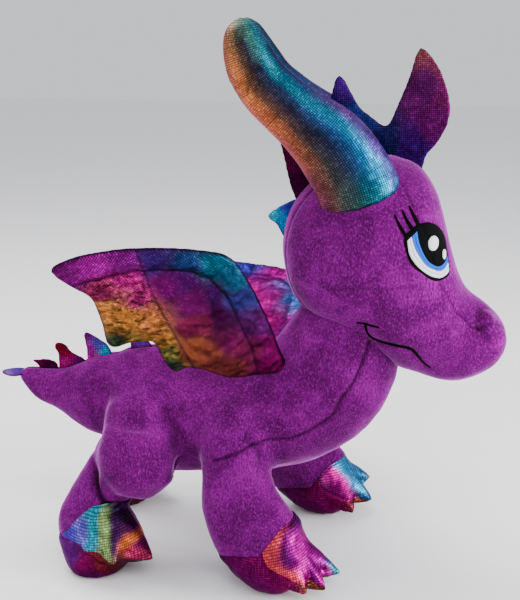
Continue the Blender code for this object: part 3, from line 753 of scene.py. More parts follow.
def make_body():
    """Cut the stuffed skin into legs, tail, two side panels and the belly gusset."""
    obj = body_skin()
    sleeves = {}
    for side in (RIGHT, LEFT):
        points = coords(obj)
        field = np.stack([points[:, 1] * side, points[:, 2]], axis=1) @ LEG_SLOPE - LEG_START
        legs, obj = cut_along(obj, np.minimum(field, points[:, 1] * side))
        parted = cut_along(legs, coords(legs)[:, 0] - LEGS_PARTED_AT)
        sleeves["front", side], sleeves["hind", side] = parted
    for (kind, side), leg in sleeves.items():
        make_leg(leg, kind, side)
    tail, obj = cut_along(obj, TAIL_START - coords(obj)[:, 0])
    to_shared_frame(tail)
    dress(tail, "tail_plush", PLUSH, None, ("tail_cover", "tail_stuffing"))
    bend(tail, "tail", np.array([TAIL_START, 0, TAIL_HEIGHT]), np.array([TAIL_END, 0, TAIL_HEIGHT]))
    gusset, sides = cut_along(obj, signed(coords(obj)[:, [0, 2]], BELLY_OUTLINE))
    left, right = cut_along(sides, coords(sides)[:, 1])
    pieces = ((gusset, "belly_plush", ("belly_gusset", "body_stuffing")),
              (left, "left_body_plush", ("left_body_panel",)),
              (right, "right_body_plush", ("right_body_panel",)))
    for piece, name, stands_for in pieces:
        to_shared_frame(piece)
        dress(piece, name, PLUSH, "torso", stands_for)


make_body()


# ---------------------------------------------------------------- foil

FOIL_DEPTH = 0.70                         # how dark the foil is against its named colours
SHARPNESS = 2.2                           # how quickly one colour gives way to the next
VIVID = 1.04                              # and how much stronger they are


def srgb(r, g, b):
    """A colour as seen on a screen, in linear light."""
    return tuple((c / 255) ** 2.2 for c in (r, g, b))


def painted(obj, anchors, places, warp, seed, crush=0.12):
    """Blend colours over an object from anchors of (place or line of places, colour).

    Places are the points' own, warp bends them a little, and crush is how crumpled the foil is.
    """
    shift = np.stack([cloud(coords(obj), 14.0, seed + k) for k in range(places.shape[1])], axis=1)
    places = places + shift * warp
    total, weight = np.zeros((len(places), 3)), np.zeros(len(places))
    for place, colour in anchors:
        line = place if isinstance(place[0], tuple) else (place, place)
        share = (to_path(places, line) ** 2 + 9.0) ** -SHARPNESS
        total += share[:, None] * np.array(srgb(*colour))
        weight += share
    store_tint(obj, FOIL_DEPTH * total / weight[:, None], crush)


def store_tint(obj, shades, crush):
    """Keep each point's foil colour, with how crumpled it is in the fourth number."""
    colours = np.empty((len(shades), 4))
    grey = shades.mean(axis=1, keepdims=True)
    colours[:, :3] = np.maximum(grey + (shades - grey) * VIVID, 0.0)
    colours[:, 3] = crush
    layer = obj.data.color_attributes.new("tint", "FLOAT_COLOR", "POINT")
    store(layer.data, "color", colours)


def weave_map(obj, flat, wrap=None):
    """Lay the weave over an object; flat holds millimetres across and along for each point.

    Where the weave goes round and meets itself, wrap is the distance round.
    """
    mesh = obj.data
    uv = flat[fetch(mesh.loops, "vertex_index", 1, np.int32)[:, 0]] / WEAVE_PITCH
    if wrap:
        turn = wrap / WEAVE_PITCH
        starts = fetch(mesh.polygons, "loop_start", 1, np.int32)[:, 0]
        totals = fetch(mesh.polygons, "loop_total", 1, np.int32)[:, 0]
        first = np.repeat(uv[starts, 0], totals)
        uv[:, 0] -= np.round((uv[:, 0] - first) / turn) * turn
    store(mesh.uv_layers.new(name="weave").data, "uv", uv)


def weave_place(tree):
    """A node whose outputs 0 and 1 count threads across and along the weave."""
    parts = add(tree, "ShaderNodeSeparateXYZ")
    tree.links.new(add(tree, "ShaderNodeUVMap", uv_map="weave").outputs["UV"], parts.inputs[0])
    return parts


def foil_material():
    """Foil printed on woven cloth: bright squares between dark threads, crumpled by the tint's alpha, with
    painted sparkle on the squares and painted light and shade on the folds and crumples.
    """
    material, tree, shader = nodes_of("woven_foil")
    paint = add(tree, "ShaderNodeVertexColor", layer_name="tint")
    parts = weave_place(tree)
    turns = [math_node(tree, "MULTIPLY", parts.outputs[k], math.pi) for k in (0, 1)]
    waves = [math_node(tree, "ABSOLUTE", math_node(tree, "SINE", turn)) for turn in turns]
    gaps = ramp(tree, [(0.16, 0.32), (0.55, 1.08)], math_node(tree, "MULTIPLY", waves[0], waves[1]))
    cell = add(tree, "ShaderNodeVectorMath", operation="FLOOR")
    tree.links.new(parts.inputs[0].links[0].from_socket, cell.inputs[0])
    sparkle = add(tree, "ShaderNodeTexWhiteNoise", noise_dimensions="2D")
    tree.links.new(cell.outputs[0], sparkle.inputs["Vector"])
    # Painted sparkle: a random brightness for each weave square, standing for glints
    painted_sparkle = ramp(tree, [(0.0, 0.72), (0.7, 1.0), (1.0, 1.55)], sparkle.outputs["Value"])
    folds = noise_of(tree, 16, 2, 0.5, distortion=0.8)
    flakes = noise_of(tree, 3.6, 5, 0.72, stretch=(0.6, 1.0, 1.1), distortion=0.5)
    # Painted highlights and shade on the crumples, as strong as the tint's alpha
    crumple_light_and_shade = ramp(tree, [(0.38, 0.10), (0.50, 0.85), (0.60, 1.60)], flakes)
    crumple_shading = mix(tree, paint.outputs["Alpha"], (1.0, 1.0, 1.0), crumple_light_and_shade)
    # Painted light and shade following the broad folds
    fold_light_and_shade = ramp(tree, [(0.36, 0.72), (0.64, 1.22)], folds)
    colour = paint.outputs["Color"]
    for layer in (gaps, crumple_shading, fold_light_and_shade, painted_sparkle):
        colour = mix(tree, 1.0, colour, layer, "MULTIPLY")
    tree.links.new(colour, shader.inputs["Base Color"])
    shader.inputs["Metallic"].default_value = 1.0
    shader.inputs["Specular Tint"].default_value = (0.7, 0.5, 0.7, 1)
    tree.links.new(ramp(tree, [(0.3, 0.38), (0.8, 0.52)], flakes), shader.inputs["Roughness"])
    relief = math_node(tree, "MULTIPLY", flakes, paint.outputs["Alpha"])
    bump(tree, shader, [(folds, 0.25, 2.5), (relief, 0.8, 2.0), (gaps, 0.45, 0.16)])
    return material


FOIL = foil_material()


# ---------------------------------------------------------------- feet

# Colours of the foot tops by x and z; the left hind foot takes the right one's
FOOT_COLOURS = {
    ("front", RIGHT): [(((29.6, 50), (22, 39), (25, 30), (35, 23), (46, 15)), (232, 82, 96)),
                       (((33, 50), (33, 42.5), (38, 30)), (95, 22, 95)),
                       (((39, 45), (42, 35), (46, 25), (49, 16)), (208, 12, 168)),
                       (((39, 51), (46, 37), (50, 29), (53, 18)), (85, 22, 105)),
                       (((48, 34), (53, 23), (58, 13)), (200, 12, 160)),
                       (((47, 44), (52, 34), (58, 23)), (50, 70, 155)),
                       (((62, 20), (67, 11)), (35, 150, 165)),
                       ((10, 20), (120, 20, 110))],
    ("front", LEFT): [(((50, 46), (59, 34), (70, 20)), (50, 150, 200)),
                      (((72, 14), (77, 11)), (35, 90, 150)),
                      (((46, 40), (54, 31), (58, 17)), (190, 20, 140)),
                      (((50, 30), (60, 8)), (110, 5, 90)),
                      (((72, 30), (74, 22)), (165, 85, 75)), ((64, 40), (60, 170, 220)),
                      ((40, 20), (90, 10, 90))],
    ("hind", RIGHT): [(((-122, 33), (-110, 40)), (85, 70, 185)), (((-112, 42), (-107, 33)), (125, 110, 215)),
                      (((-102, 52), (-102, 31)), (40, 165, 190)), (((-96, 49), (-91, 26)), (150, 180, 110)),
                      (((-89, 51), (-86, 36), (-85, 28)), (60, 20, 75)), ((-78, 40), (70, 15, 75)),
                      # The orange line here is a painted glint
                      ((-72, 29), (95, 15, 80)), (((-80, 29), (-76, 32)), (220, 110, 60)),
                      ((-75, 24), (210, 60, 110)), ((-118, 24), (95, 45, 140))],
}
# Colours of the soles by distance ahead of their middle and height
SOLE_COLOURS = {
    "front": [((-30, 5), (85, 8, 80)), ((0, 8), (115, 12, 95)), ((15, 26), (120, 18, 85)),
              ((22, 5), (130, 22, 85)), ((38, 6), (140, 75, 60)), ((50, 6), (60, 45, 60))],
    "hind": [((-16, 20), (100, 35, 120)), ((-2, 14), (125, 18, 85)), ((8, 16), (120, 45, 45)),
             ((24, 16), (95, 55, 45)), ((38, 16), (60, 120, 120)), ((0, 2), (90, 15, 80))],
}
SOLE_MIDDLE = {"front": 14, "hind": -104}
# The seam round each sole: distances ahead of its middle, and heights
SOLE_SEAMS = {
    "front": ([-40, 3, 6, 8, 15, 24, 33, 50], [44, 40, 33, 28.5, 24, 19, 15.5, 9]),
    "hind": ([-30, -15, -1, 7, 18, 38], [31, 31, 27, 26, 19.5, 15]),
}
FOOT_WRAP = 150 * WEAVE_PITCH
FOOT_TOP = 72


def sole_middle(kind, side):
    """The x of the middle of a foot's sole."""
    return SOLE_MIDDLE[kind] + STRIDE[kind, side]


def sole_height(points, kind, side):
    """How high the seam between a foot's top and its sole runs at each point."""
    return np.interp(points[:, 0] - sole_middle(kind, side), *SOLE_SEAMS[kind])


def foot_form(kind, side):
    """The stuffed foot with its three pointed toes."""
    rows = [row for row in leg_rows(kind, side) if row[1] < FOOT_TOP]
    if kind == "front":                   # end the leg's form early, behind the toes
        ahead, out_y = STRIDE[kind, side], side * FOOT_SIDE[kind, side]
        rows = rows[:-3] + [(39 + ahead, 17, 16, 19, out_y), (45 + ahead, 14, 0, 0, out_y)]
    first = rows[0]
    rows.insert(0, (first[0], first[1] + 6, 0, 0, first[4]))
    forms = [loft(rows, grow=1.2)]
    forms += toe_forms(kind, side)
    obj = divided(remesh(make_object("foot", forms), FINE_VOXEL, 3))
    points, out = stand(coords(obj), 3.0), normals(obj)
    pucker = np.zeros(len(points))
    toes = np.array(TOES[kind, side], float)
    inner = foot_centre(kind, side) + np.array([0, 0, 14])
    for a, b in zip(toes, toes[1:]):
        valley = (a + b) / 2 + np.array([0, 0, 3])
        pucker += bell(to_path(points, [inner + (valley - inner) * 0.55, valley]), 2.6)
    gather = cloud(points * np.array([1, 1, 0.35]), 5.0, 2.0)
    points += out * (gather * 0.4 - pucker * 2.6)[:, None]
    set_coords(obj, stand(points, 0.8))
    return obj


def make_foot(kind, side):
    """A foil foot, cut off at the ankle and along the seam of its sole."""
    obj = foot_form(kind, side)
    points = coords(obj)
    edge = signed(points[:, [0, 2]], ankle_outline(kind, side))
    points -= normals(obj) * (0.7 * bell(edge, 1.2))[:, None]
    rim = sole_height(points, kind, side) - points[:, 2]
    points -= normals(obj) * (0.8 * bell(rim, 1.3))[:, None]
    set_coords(obj, stand(points, 0.3))
    foot, rest = cut_along(obj, edge)
    bpy.data.objects.remove(rest, do_unlink=True)
    points = coords(foot)
    sole, top = cut_along(foot, sole_height(points, kind, side) - points[:, 2])
    if (kind, side) in FOOT_COLOURS:
        make_foot_piece(top, "foot_top", FOOT_COLOURS[kind, side], 0.0, kind, side)
    else:
        make_foot_piece(top, "foot_top", FOOT_COLOURS[kind, -side], STRIDE[kind, side], kind, side)
    make_foot_piece(sole, "foot_sole", SOLE_COLOURS[kind], sole_middle(kind, side), kind, side)


def make_foot_piece(piece, name, colours, moved, kind, side):
    """Paint one part of a foot, wrap the weave around it, and hang it on its leg."""
    points = coords(piece)
    painted(piece, colours, points[:, [0, 2]] - np.array([moved, 0]), 2.0, 1.0 + side)
    ball = points - np.array([sole_middle(kind, side), side * FOOT_SIDE[kind, side], 6.0])
    around = np.arctan2(ball[:, 1], ball[:, 0]) * FOOT_WRAP / (2 * math.pi)
    up = np.arctan2(ball[:, 2], np.hypot(ball[:, 0], ball[:, 1])) * FOOT_WRAP / (2 * math.pi)
    weave_map(piece, np.stack([around, up], axis=1), FOOT_WRAP)
    to_shared_frame(piece)
    prefix = f"{SIDE_NAMES[side]}_{kind}"
    dress(piece, f"{prefix}_{name}_foil", FOIL, prefix + "_leg", (f"{prefix}_{name}",))


for foot_side in (RIGHT, LEFT):
    for foot_kind in KINDS:
        make_foot(foot_kind, foot_side)


# ---------------------------------------------------------------- quilted foil plates

OUTLINE_GROWTH = 0.7
PLATE_THICK = 1.2


def plate_form(name, outline, thick, puff, reach, voxel, smooth, ripple, seed, seams=(), slack=0.0):
    """A stuffed double-layer plate in the XZ plane, held thin along its edge and seams.

    Returns it with each point's distance to the edge, and to the nearest edge or seam.
    """
    flat = np.array(smooth_rows(list(outline) + [outline[0]], 3)[:-1])
    along = np.roll(flat, -1, axis=0) - np.roll(flat, 1, axis=0)
    outward = np.stack([along[:, 1], -along[:, 0]], axis=1) / np.linalg.norm(along, axis=1)[:, None]
    area = np.sum(flat[:, 0] * np.roll(flat[:, 1], -1) - np.roll(flat[:, 0], -1) * flat[:, 1])
    flat = flat + outward * np.sign(area) * OUTLINE_GROWTH
    curve = [tuple(p) for p in flat]
    count = len(curve)
    low = np.stack([flat[:, 0], np.full(count, -thick), flat[:, 1]], axis=1)
    high = low * np.array([1, -1, 1])
    faces = [list(range(count)), list(range(2 * count - 1, count - 1, -1))]
    faces += [[k, (k + 1) % count, count + (k + 1) % count, count + k] for k in range(count)]
    obj = remesh(make_object(name, [(np.vstack([low, high]), faces)]), voxel, smooth)
    if slack:
        flat_points = coords(obj)[:, [0, 2]]
        held = to_path(flat_points, curve + curve[:1]) < 1.6
        for seam in seams:
            held |= to_path(flat_points, seam) < 1.1
        inflate(obj, 1.5, 3.0, held, slack)
    points = coords(divided(obj))
    flat_points = points[:, [0, 2]]
    edge = to_path(flat_points, curve + curve[:1])
    gap = edge.copy()
    for seam in seams:
        gap = np.minimum(gap, to_path(flat_points, seam))
    swell = puff * (1 - np.exp(-gap / reach)) + thick * np.minimum(edge / 1.2, 1.0) * 0.55
    drift = np.clip(points[:, 1] - np.sign(points[:, 1]) * thick, -3, 3) if slack else 0.0
    face = np.tanh(points[:, 1] / (thick * 0.45))
    wave = ripple * cloud(points * np.array([1, 0.05, 1]), 8.0, seed) * (1 - np.exp(-edge / 4))
    wave += 0.5 * ripple * cloud(points * np.array([1.4, 0.6, 1]), 3.6, seed + 5) * (1 - np.exp(-gap / 2))
    points[:, 1] = face * swell + wave + drift * np.minimum(gap / 2, 1.0)
    set_coords(obj, points)
    return obj, edge, gap


def side_of_line(points, line):
    """Distance to a line, positive on the side where the first coordinate is larger."""
    line = np.array(sorted(line, key=lambda p: p[1]), float)
    return points[:, 0] - np.interp(points[:, 1], line[:, 1], line[:, 0])


EDGE_COLOUR = (0.02, 0.004, 0.03)


def dark_edges(obj, amount):
    """Darken an object's tint where amount is 1, as piping or stitching does."""
    layer = obj.data.color_attributes["tint"]
    tint = fetch(layer.data, "color", 4)
    tint[:, :3] += (np.array(EDGE_COLOUR) - tint[:, :3]) * np.clip(amount, 0, 1)[:, None]
    store(layer.data, "color", tint)


# Colours of the wings by distance along and up
WING_COLOURS = {
    RIGHT: [((136, 91), (130, 30, 120)), ((118, 96), (165, 30, 150)), ((100, 99), (135, 30, 130)),
            ((84, 98), (70, 40, 120)), ((62, 98), (45, 65, 115)), ((44, 95), (35, 105, 130)),
            ((32, 83), (42, 92, 125)), ((24, 66), (60, 60, 130)), ((14, 44), (105, 35, 110)),
            ((4, 22), (140, 25, 105)), ((2, 6), (120, 20, 85)),
            ((116, 76), (150, 50, 90)), ((98, 84), (175, 40, 120)), ((90, 70), (170, 50, 110)),
            ((112, 62), (215, 137, 72)), ((98, 58), (225, 146, 72)), ((86, 52), (210, 127, 74)),
            ((108, 46), (190, 132, 68)), ((108, 33), (60, 75, 55)), ((94, 38), (150, 120, 60)),
            ((76, 34), (190, 126, 66)), ((70, 10), (55, 80, 60)), ((74, 22), (120, 115, 60)),
            ((76, 78), (105, 20, 95)), ((62, 84), (85, 20, 95)), ((58, 66), (110, 25, 95)),
            ((46, 72), (60, 20, 75)), ((40, 54), (75, 18, 70)), ((58, 45), (135, 45, 80)),
            ((60, 24), (156, 86, 58)), ((46, 20), (156, 80, 62)), ((34, 30), (110, 30, 80)),
            ((30, 8), (148, 72, 68)), ((22, 22), (125, 40, 80))],
    LEFT: [((134, 90), (110, 20, 140)), ((100, 98), (60, 60, 170)), ((60, 97), (150, 5, 120)),
           ((40, 92), (80, 110, 200)), ((24, 62), (70, 110, 190)), ((8, 18), (160, 20, 150)),
           ((110, 60), (165, 5, 110)), ((80, 60), (175, 0, 130)), ((50, 50), (180, 0, 140)),
           ((90, 40), (165, 25, 90)), ((40, 20), (170, 0, 120)), ((66, 12), (160, 15, 90))],
}


WING_SLACK = {RIGHT: 0.004, LEFT: 0.02}
BAND_FULLNESS = 1.45


def make_wing(side):
    """A quilted wing with a fuller band along its front, raised to its place."""
    obj, edge, gap = plate_form("wing", WING, 2.6, 2.6, 7.0, FINE_VOXEL, 2, 0.8, side,
                                (WING_BAND, WING_RIB), WING_SLACK[side])
    points = coords(obj)
    flat = points[:, [0, 2]]
    band = inside(flat, WING_BAND + BEYOND_BAND)
    points[:, 1] *= np.where(band, BAND_FULLNESS, 1.0)
    set_coords(obj, points)
    crush = np.where(band, 0.25, 0.45)
    if side == RIGHT:                     # crumpled only behind the rib
        crush = np.where(band, 0.30, 0.08 + 0.85 * rise(side_of_line(flat, WING_RIB), -3, 4))
    painted(obj, WING_COLOURS[side], flat, 6.0, 2.0 + side, crush)
    dark_edges(obj, 0.4 * bell(edge, 0.7) + 0.85 * bell(gap, 0.8))
    weave_map(obj, flat @ np.array([[0.82, -0.57], [0.57, 0.82]]))
    yaw, lift = WING_YAW, WING_LIFT[side]
    back = Vector((-math.cos(yaw), side * math.sin(yaw), 0))
    out = Vector((math.sin(yaw), side * math.cos(yaw), 0))
    up = out * math.cos(lift) + Vector((0, 0, math.sin(lift)))
    normal = up.cross(back)
    root = Vector((WING_ROOT * np.array([1, side, 1]) + SHIFT) * MM)
    obj.data.transform(Matrix.Translation(root) @ Matrix((back, normal, up)).transposed().to_4x4())
    prefix = SIDE_NAMES[side] + "_wing"
    stands = (prefix + "_upper_panel", prefix + "_lower_panel", prefix + "_batting")
    dress(obj, prefix + "_foil", FOIL, prefix, stands)


for wing_side in (RIGHT, LEFT):
    make_wing(wing_side)


# ---------------------------------------------------------------- head

HEAD_FRAME = Matrix.Translation(Vector(SHIFT + NECK) * MM) @ Matrix.Rotation(HEAD_TURN, 4, "Z")
NOSTRILS = (92.0, 16.0, 182.0)
NOSTRIL_REACH = 11.5
EYE_OUTLINE = [(32.3, 246), (33.5, 249.5), (36.5, 252), (41, 254.8), (48, 255.5), (53.5, 252.8),
               (57.5, 249), (60.5, 243.5), (62, 236), (63.5, 227), (63.7, 221), (60.7, 218.9),
               (55, 218), (49, 221), (44, 225), (39.3, 228.8), (36, 233.3), (33.6, 240)]
WHITE_OUTER = [(34.4, 245.7), (35.8, 237.6), (40.2, 230.6), (47.4, 224.0), (55.1, 220.0),
               (60.5, 220.7), (62.8, 222.6)]
WHITE_INNER = [(36.9, 247.9), (39.0, 241.0), (42.4, 235.0), (47.2, 228.9), (54.9, 224.5),
               (59.4, 224.8), (62.2, 228.1)]
BLUE_INNER = [(40.6, 251.0), (41.6, 245.0), (44.3, 238.0), (48.5, 231.4), (54.8, 227.3),
              (59.2, 228.3), (61.8, 232.1)]
GLINTS = (((51.5, 242.2), 3.4, 4.5, 6), ((59.3, 233.8), 1.2, 3.0, 2))   # centre, half sizes, tilt
LASHES = (((34.5, 247.0), (29.3, 255.4), (26.2, 261.6)), ((38.0, 252.0), (33.8, 258.6), (31.1, 264.3)),
          ((42.0, 254.2), (38.4, 260.7), (35.6, 266.3)))
MOUTH_LINE = [(9.8, 189), (12, 181), (16, 177), (22, 175.3), (33, 173.3), (39.5, 171.5),
              (43, 168.6), (46.8, 163.2), (51, 157.5), (55, 154)]
CHEEK_TUCK = [(-17, 213), (10, 215.5), (40, 216.5)]
CHEEK_LINE = [(4.5, 190), (10, 189.4), (18.7, 187.8)]
# The head's top strip: distances forward, and its edge as a share of the way round
STRIP_PLACES = [20, 40, 53, 60, 70, 77, 86, 95, 108]
STRIP_EDGE = [0.31, 0.8, 0.97, 0.985, 0.96, 0.92, 0.917, 0.8, 0.6]


def on_neck(line):
    """A line of x and z in the head's frame, whose origin is the neck pivot."""
    return [(x, z - NECK[2]) for x, z in line]


def head_skin():
    """The stuffed head with its nostrils, seams and tucks."""
    rows = [(x, z - NECK[2], high, wide) for x, z, high, wide in HEAD]
    forms = [loft(rows, grow=0.6, upright=True, sides=36)]
    for side in (RIGHT, LEFT):
        x, y, z = NOSTRILS
        centre = np.array([x, side * y, z - NECK[2]])
        forms.append(tube([centre - [12, 0, 2], centre, centre + [5, 0, -2]], (7, 10, 8)))
    obj = remesh(make_object("head", forms), PLUSH_VOXEL, 8)
    obj = divided(inflate(obj, 3.0, 1.5, np.abs(gusset_field(coords(obj))) < 1.6))
    points, out = coords(obj), normals(obj)
    lumps = cloud(points, 26.0, 9.0) * 0.6 + cloud(points, 9.0, 4.0) * 0.2
    gusset = gusset_field(points)
    mouth = to_path(points[:, [0, 2]], on_neck(MOUTH_LINE))
    tuck = to_path(points[:, [0, 2]], on_neck(CHEEK_TUCK))
    mirrored = np.stack([points[:, 0], np.abs(points[:, 1]), points[:, 2] + NECK[2]], axis=1)
    away = np.linalg.norm(mirrored - np.array(NOSTRILS), axis=1)
    crease = bell(away - NOSTRIL_REACH, 1.8) * rise(-mirrored[:, 0], -98, -90)
    dent = 0.9 * bell(gusset, 1.5) + 0.9 * bell(mouth, 2.6) * (np.abs(points[:, 1]) > 12)
    dent += 1.1 * crease + 0.6 * bell(tuck, 2.2)
    points += out * (lumps - dent)[:, None]
    # Painted shade along the top strip's seam, in the cheek tuck and in the nostril creases
    dark = 0.55 * bell(gusset, 1.3) + 0.3 * bell(tuck, 1.3) + 0.3 * crease
    # Painted light on faces turned forward, on the forehead and muzzle
    paint_shading(obj, dark - 0.28 * rise(out[:, 0], 0.2, 0.8))
    set_coords(obj, points)
    return obj


def gusset_field(points):
    """How far inside the strip over the top of the head and muzzle each point lies, in millimetres."""
    x, y, z = points[:, 0], np.abs(points[:, 1]), points[:, 2] + NECK[2]
    table = np.array(HEAD, float)
    middle, high, wide = (np.interp(x, table[:, 0], table[:, k]) for k in (1, 2, 3))
    share = np.interp(x, STRIP_PLACES, STRIP_EDGE)
    angle = np.arctan2(y / np.maximum(wide, 1), (z - middle) / np.maximum(high, 1))
    front = (np.arcsin(share) - angle) * (high + wide) / 2
    behind = np.minimum(17 - y, (z - 232) * 0.8 + (20 - x) * 0.6 + 20)
    blend = rise(x, 14, 26)
    return front * blend + behind * (1 - blend)


THREAD_PITCH = 0.42


def satin(name, colour, angle):
    """Embroidered satin stitch: fine parallel threads across the head's side view."""
    material, tree, shader = nodes_of(name)
    parts = weave_place(tree)
    across = math_node(tree, "ADD", math_node(tree, "MULTIPLY", parts.outputs[0], math.cos(angle)),
                       math_node(tree, "MULTIPLY", parts.outputs[1], math.sin(angle)))
    turn = 2 * math.pi / THREAD_PITCH * WEAVE_PITCH
    threads = math_node(tree, "SINE", math_node(tree, "MULTIPLY", across, turn))
    shade = ramp(tree, [(0.0, tuple(c * 0.62 for c in colour)), (0.6, colour)],
                 math_node(tree, "MULTIPLY_ADD", threads, 0.5))
    tree.links.new(shade, shader.inputs["Base Color"])
    shader.inputs["Roughness"].default_value = 0.8
    shader.inputs["Specular IOR Level"].default_value = 0.06
    bump(tree, shader, [(threads, 0.5, 0.16)])
    return material


BLACK_THREAD = satin("black_satin", srgb(2, 3, 4), 0.4)
BLUE_THREAD = satin("blue_satin", srgb(35, 95, 215), 1.2)
WHITE_THREAD = satin("white_satin", srgb(238, 240, 246), 0.8)


def resampled(points, count, closed=True):
    """Evenly spaced points along a smooth line through a few."""
    rows = list(points) + [points[0]] if closed else list(points)
    if closed:
        rows = [points[-1]] + rows + [points[1]]
        curve = np.array(smooth_rows(rows, 12)[12:-12])
    else:
        curve = np.array(smooth_rows(rows, 12))
    length = np.concatenate([[0], np.cumsum(np.linalg.norm(np.diff(curve, axis=0), axis=1))])
    places = np.linspace(0, length[-1], count + 1 if closed else count)
    found = np.stack([np.interp(places, length, curve[:, k]) for k in range(curve.shape[1])], axis=1)
    return found[:-1] if closed else found


SUNK_STITCH = -0.8                        # how far under the skin a patch's back lies
ALMOST_CLOSED = 0.97


def on_head(tree, x, z, side, lift):
    """The point of the head's skin at x and z on one side, raised by lift millimetres."""
    start = Vector((x, side * 200, z - NECK[2])) * MM
    point, normal, _, _ = tree.ray_cast(start, Vector((0, -side, 0)))
    return np.array(point + normal * lift * MM) / MM


def stitched(name, tree, side, loops, lift, puff):
    """A raised patch on the head between nested outlines; the last one may be a single point."""
    points, rings = [], []
    shares = [r / (len(loops) - 1) for r in range(len(loops))]
    heights = [lift + puff * math.sin(math.pi * share) ** 0.6 for share in shares]
    under = [loops[-1], loops[0]] if len(loops[-1]) > 1 else [loops[0]]
    for loop, high in zip(loops + under, heights + [SUNK_STITCH] * len(under)):
        rings.append(list(range(len(points), len(points) + len(loop))))
        points += [on_head(tree, x, z, side, high) for x, z in loop]
    if len(under) == 2:
        faces = bridged(rings + rings[:1])
    else:
        faces = bridged(rings[:-1]) + bridged([rings[-1], rings[0]]) + [rings[-1]]
    obj = make_object(name, [(np.array(points), faces)])
    bm = bmesh.new()
    bm.from_mesh(obj.data)
    bmesh.ops.recalc_face_normals(bm, faces=bm.faces)
    bm.to_mesh(obj.data)
    bm.free()
    weave_map(obj, coords(obj)[:, [0, 2]])
    obj.data.transform(HEAD_FRAME)
    return obj


def nested(outer, inner, steps):
    """Outlines that shrink evenly from an outer one to an inner one."""
    return [outer + (inner - outer) * t for t in np.linspace(0, 1, steps)]


def to_point(rim, centre, steps):
    """Outlines that shrink from a rim to one point."""
    return nested(rim, np.repeat(np.array([centre]), len(rim), axis=0), steps)[:-1] + [np.array([centre])]


def to_line(rim, middle):
    """Outlines that shrink from a long rim almost to its middle line."""
    core = np.vstack([middle, middle[::-1]])
    return [rim, rim + (core - rim) * 0.5, rim + (core - rim) * ALMOST_CLOSED]


def crescent(outer, inner):
    """Nested outlines of the band between two open curves."""
    return to_line(np.vstack([outer, inner[::-1]]), (outer + inner) / 2)


def ellipse(centre, half_x, half_z, tilt, count=28):
    """Points round an ellipse, tilted by some degrees."""
    turn = math.radians(tilt)
    angles = np.arange(count) * 2 * math.pi / count
    x, z = half_x * np.cos(angles), half_z * np.sin(angles)
    return np.stack([centre[0] + x * math.cos(turn) - z * math.sin(turn),
                     centre[1] + x * math.sin(turn) + z * math.cos(turn)], axis=1)


def ribbon(points, widths):
    """Nested outlines of a tapering line of stitching."""
    line = resampled(points, 18, closed=False)
    along = np.gradient(line, axis=0)
    along /= np.linalg.norm(along, axis=1)[:, None]
    side = np.stack([-along[:, 1], along[:, 0]], axis=1)
    half = np.interp(np.linspace(0, 1, len(line)), np.linspace(0, 1, len(widths)), widths)[:, None] / 2
    return to_line(np.vstack([line + side * half, (line - side * half)[::-1]]), line)


def make_embroidery(tree):
    """Eyes, lashes, mouth and cheek lines, stitched on both sides of the head."""
    rim = resampled(EYE_OUTLINE, 72)
    curves = [resampled(line, 30, closed=False) for line in (WHITE_OUTER, WHITE_INNER, BLUE_INNER)]
    # Name, outlines, slot, thread, lift, puff
    patches = [("eye_black", to_point(rim, rim.mean(axis=0), 9), "eye_thread", BLACK_THREAD, 0.35, 0.35),
               ("eye_white", crescent(curves[0], curves[1]), "eye_thread", WHITE_THREAD, 0.75, 0.25),
               ("eye_blue", crescent(curves[1], curves[2]), "eye_thread", BLUE_THREAD, 0.75, 0.25)]
    for k, (middle, half_x, half_z, tilt) in enumerate(GLINTS):
        loops = to_point(ellipse(middle, half_x, half_z, tilt), middle, 4)
        patches.append((f"eye_glint_{k + 1}", loops, "eye_thread", WHITE_THREAD, 1.0, 0.3))
    strips = [(f"lash_{k + 1}", line, (2.4, 1.9, 0.9)) for k, line in enumerate(LASHES)]
    strips.append(("mouth_line", MOUTH_LINE, (1.3, 1.5, 2.2, 1.9, 0.8)))
    strips.append(("cheek_line", CHEEK_LINE, (0.9, 1.5, 0.8)))
    for name, line, widths in strips:
        patches.append((name, ribbon(line, widths), "black_thread", BLACK_THREAD, 0.35, 0.4))
    stands_for = {"eye_black": "_eye_embroidery", "mouth_line": "_mouth_stitching"}
    for side in (RIGHT, LEFT):
        prefix = SIDE_NAMES[side]
        for name, loops, slot, thread, lift, puff in patches:
            piece = stitched(name, tree, side, loops, lift, puff)
            stands = (prefix + stands_for[name],) if name in stands_for else ()
            dress(piece, f"{prefix}_{name}", thread, "head", stands)


def surface_of(obj):
    """An object's surface, ready for rays to be cast at it."""
    bm = bmesh.new()
    bm.from_mesh(obj.data)
    tree = BVHTree.FromBMesh(bm)
    bm.free()
    return tree


def make_head():
    """The plush head in its three panels, with its embroidery."""
    obj = head_skin()
    tree = surface_of(obj)
    gusset, sides = cut_along(obj, gusset_field(coords(obj)))
    left, right = cut_along(sides, coords(sides)[:, 1])
    pieces = ((gusset, "head_top_plush", ("head_top_gusset", "head_stuffing")),
              (left, "head_left_plush", ("head_left_panel",)),
              (right, "head_right_plush", ("head_right_panel",)))
    for piece, name, stands_for in pieces:
        dress(piece, name, PLUSH, None, stands_for)
        turned(piece)
        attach(piece, "head")
    make_embroidery(tree)


def turned(obj):
    """Move a mesh from the head's own frame into the shared frame, with its shading."""
    mesh = obj.data
    shade = [HEAD_FRAME.to_3x3() @ corner.vector for corner in mesh.corner_normals]
    mesh.transform(HEAD_FRAME)
    mesh.normals_split_custom_set([tuple(n) for n in shade])


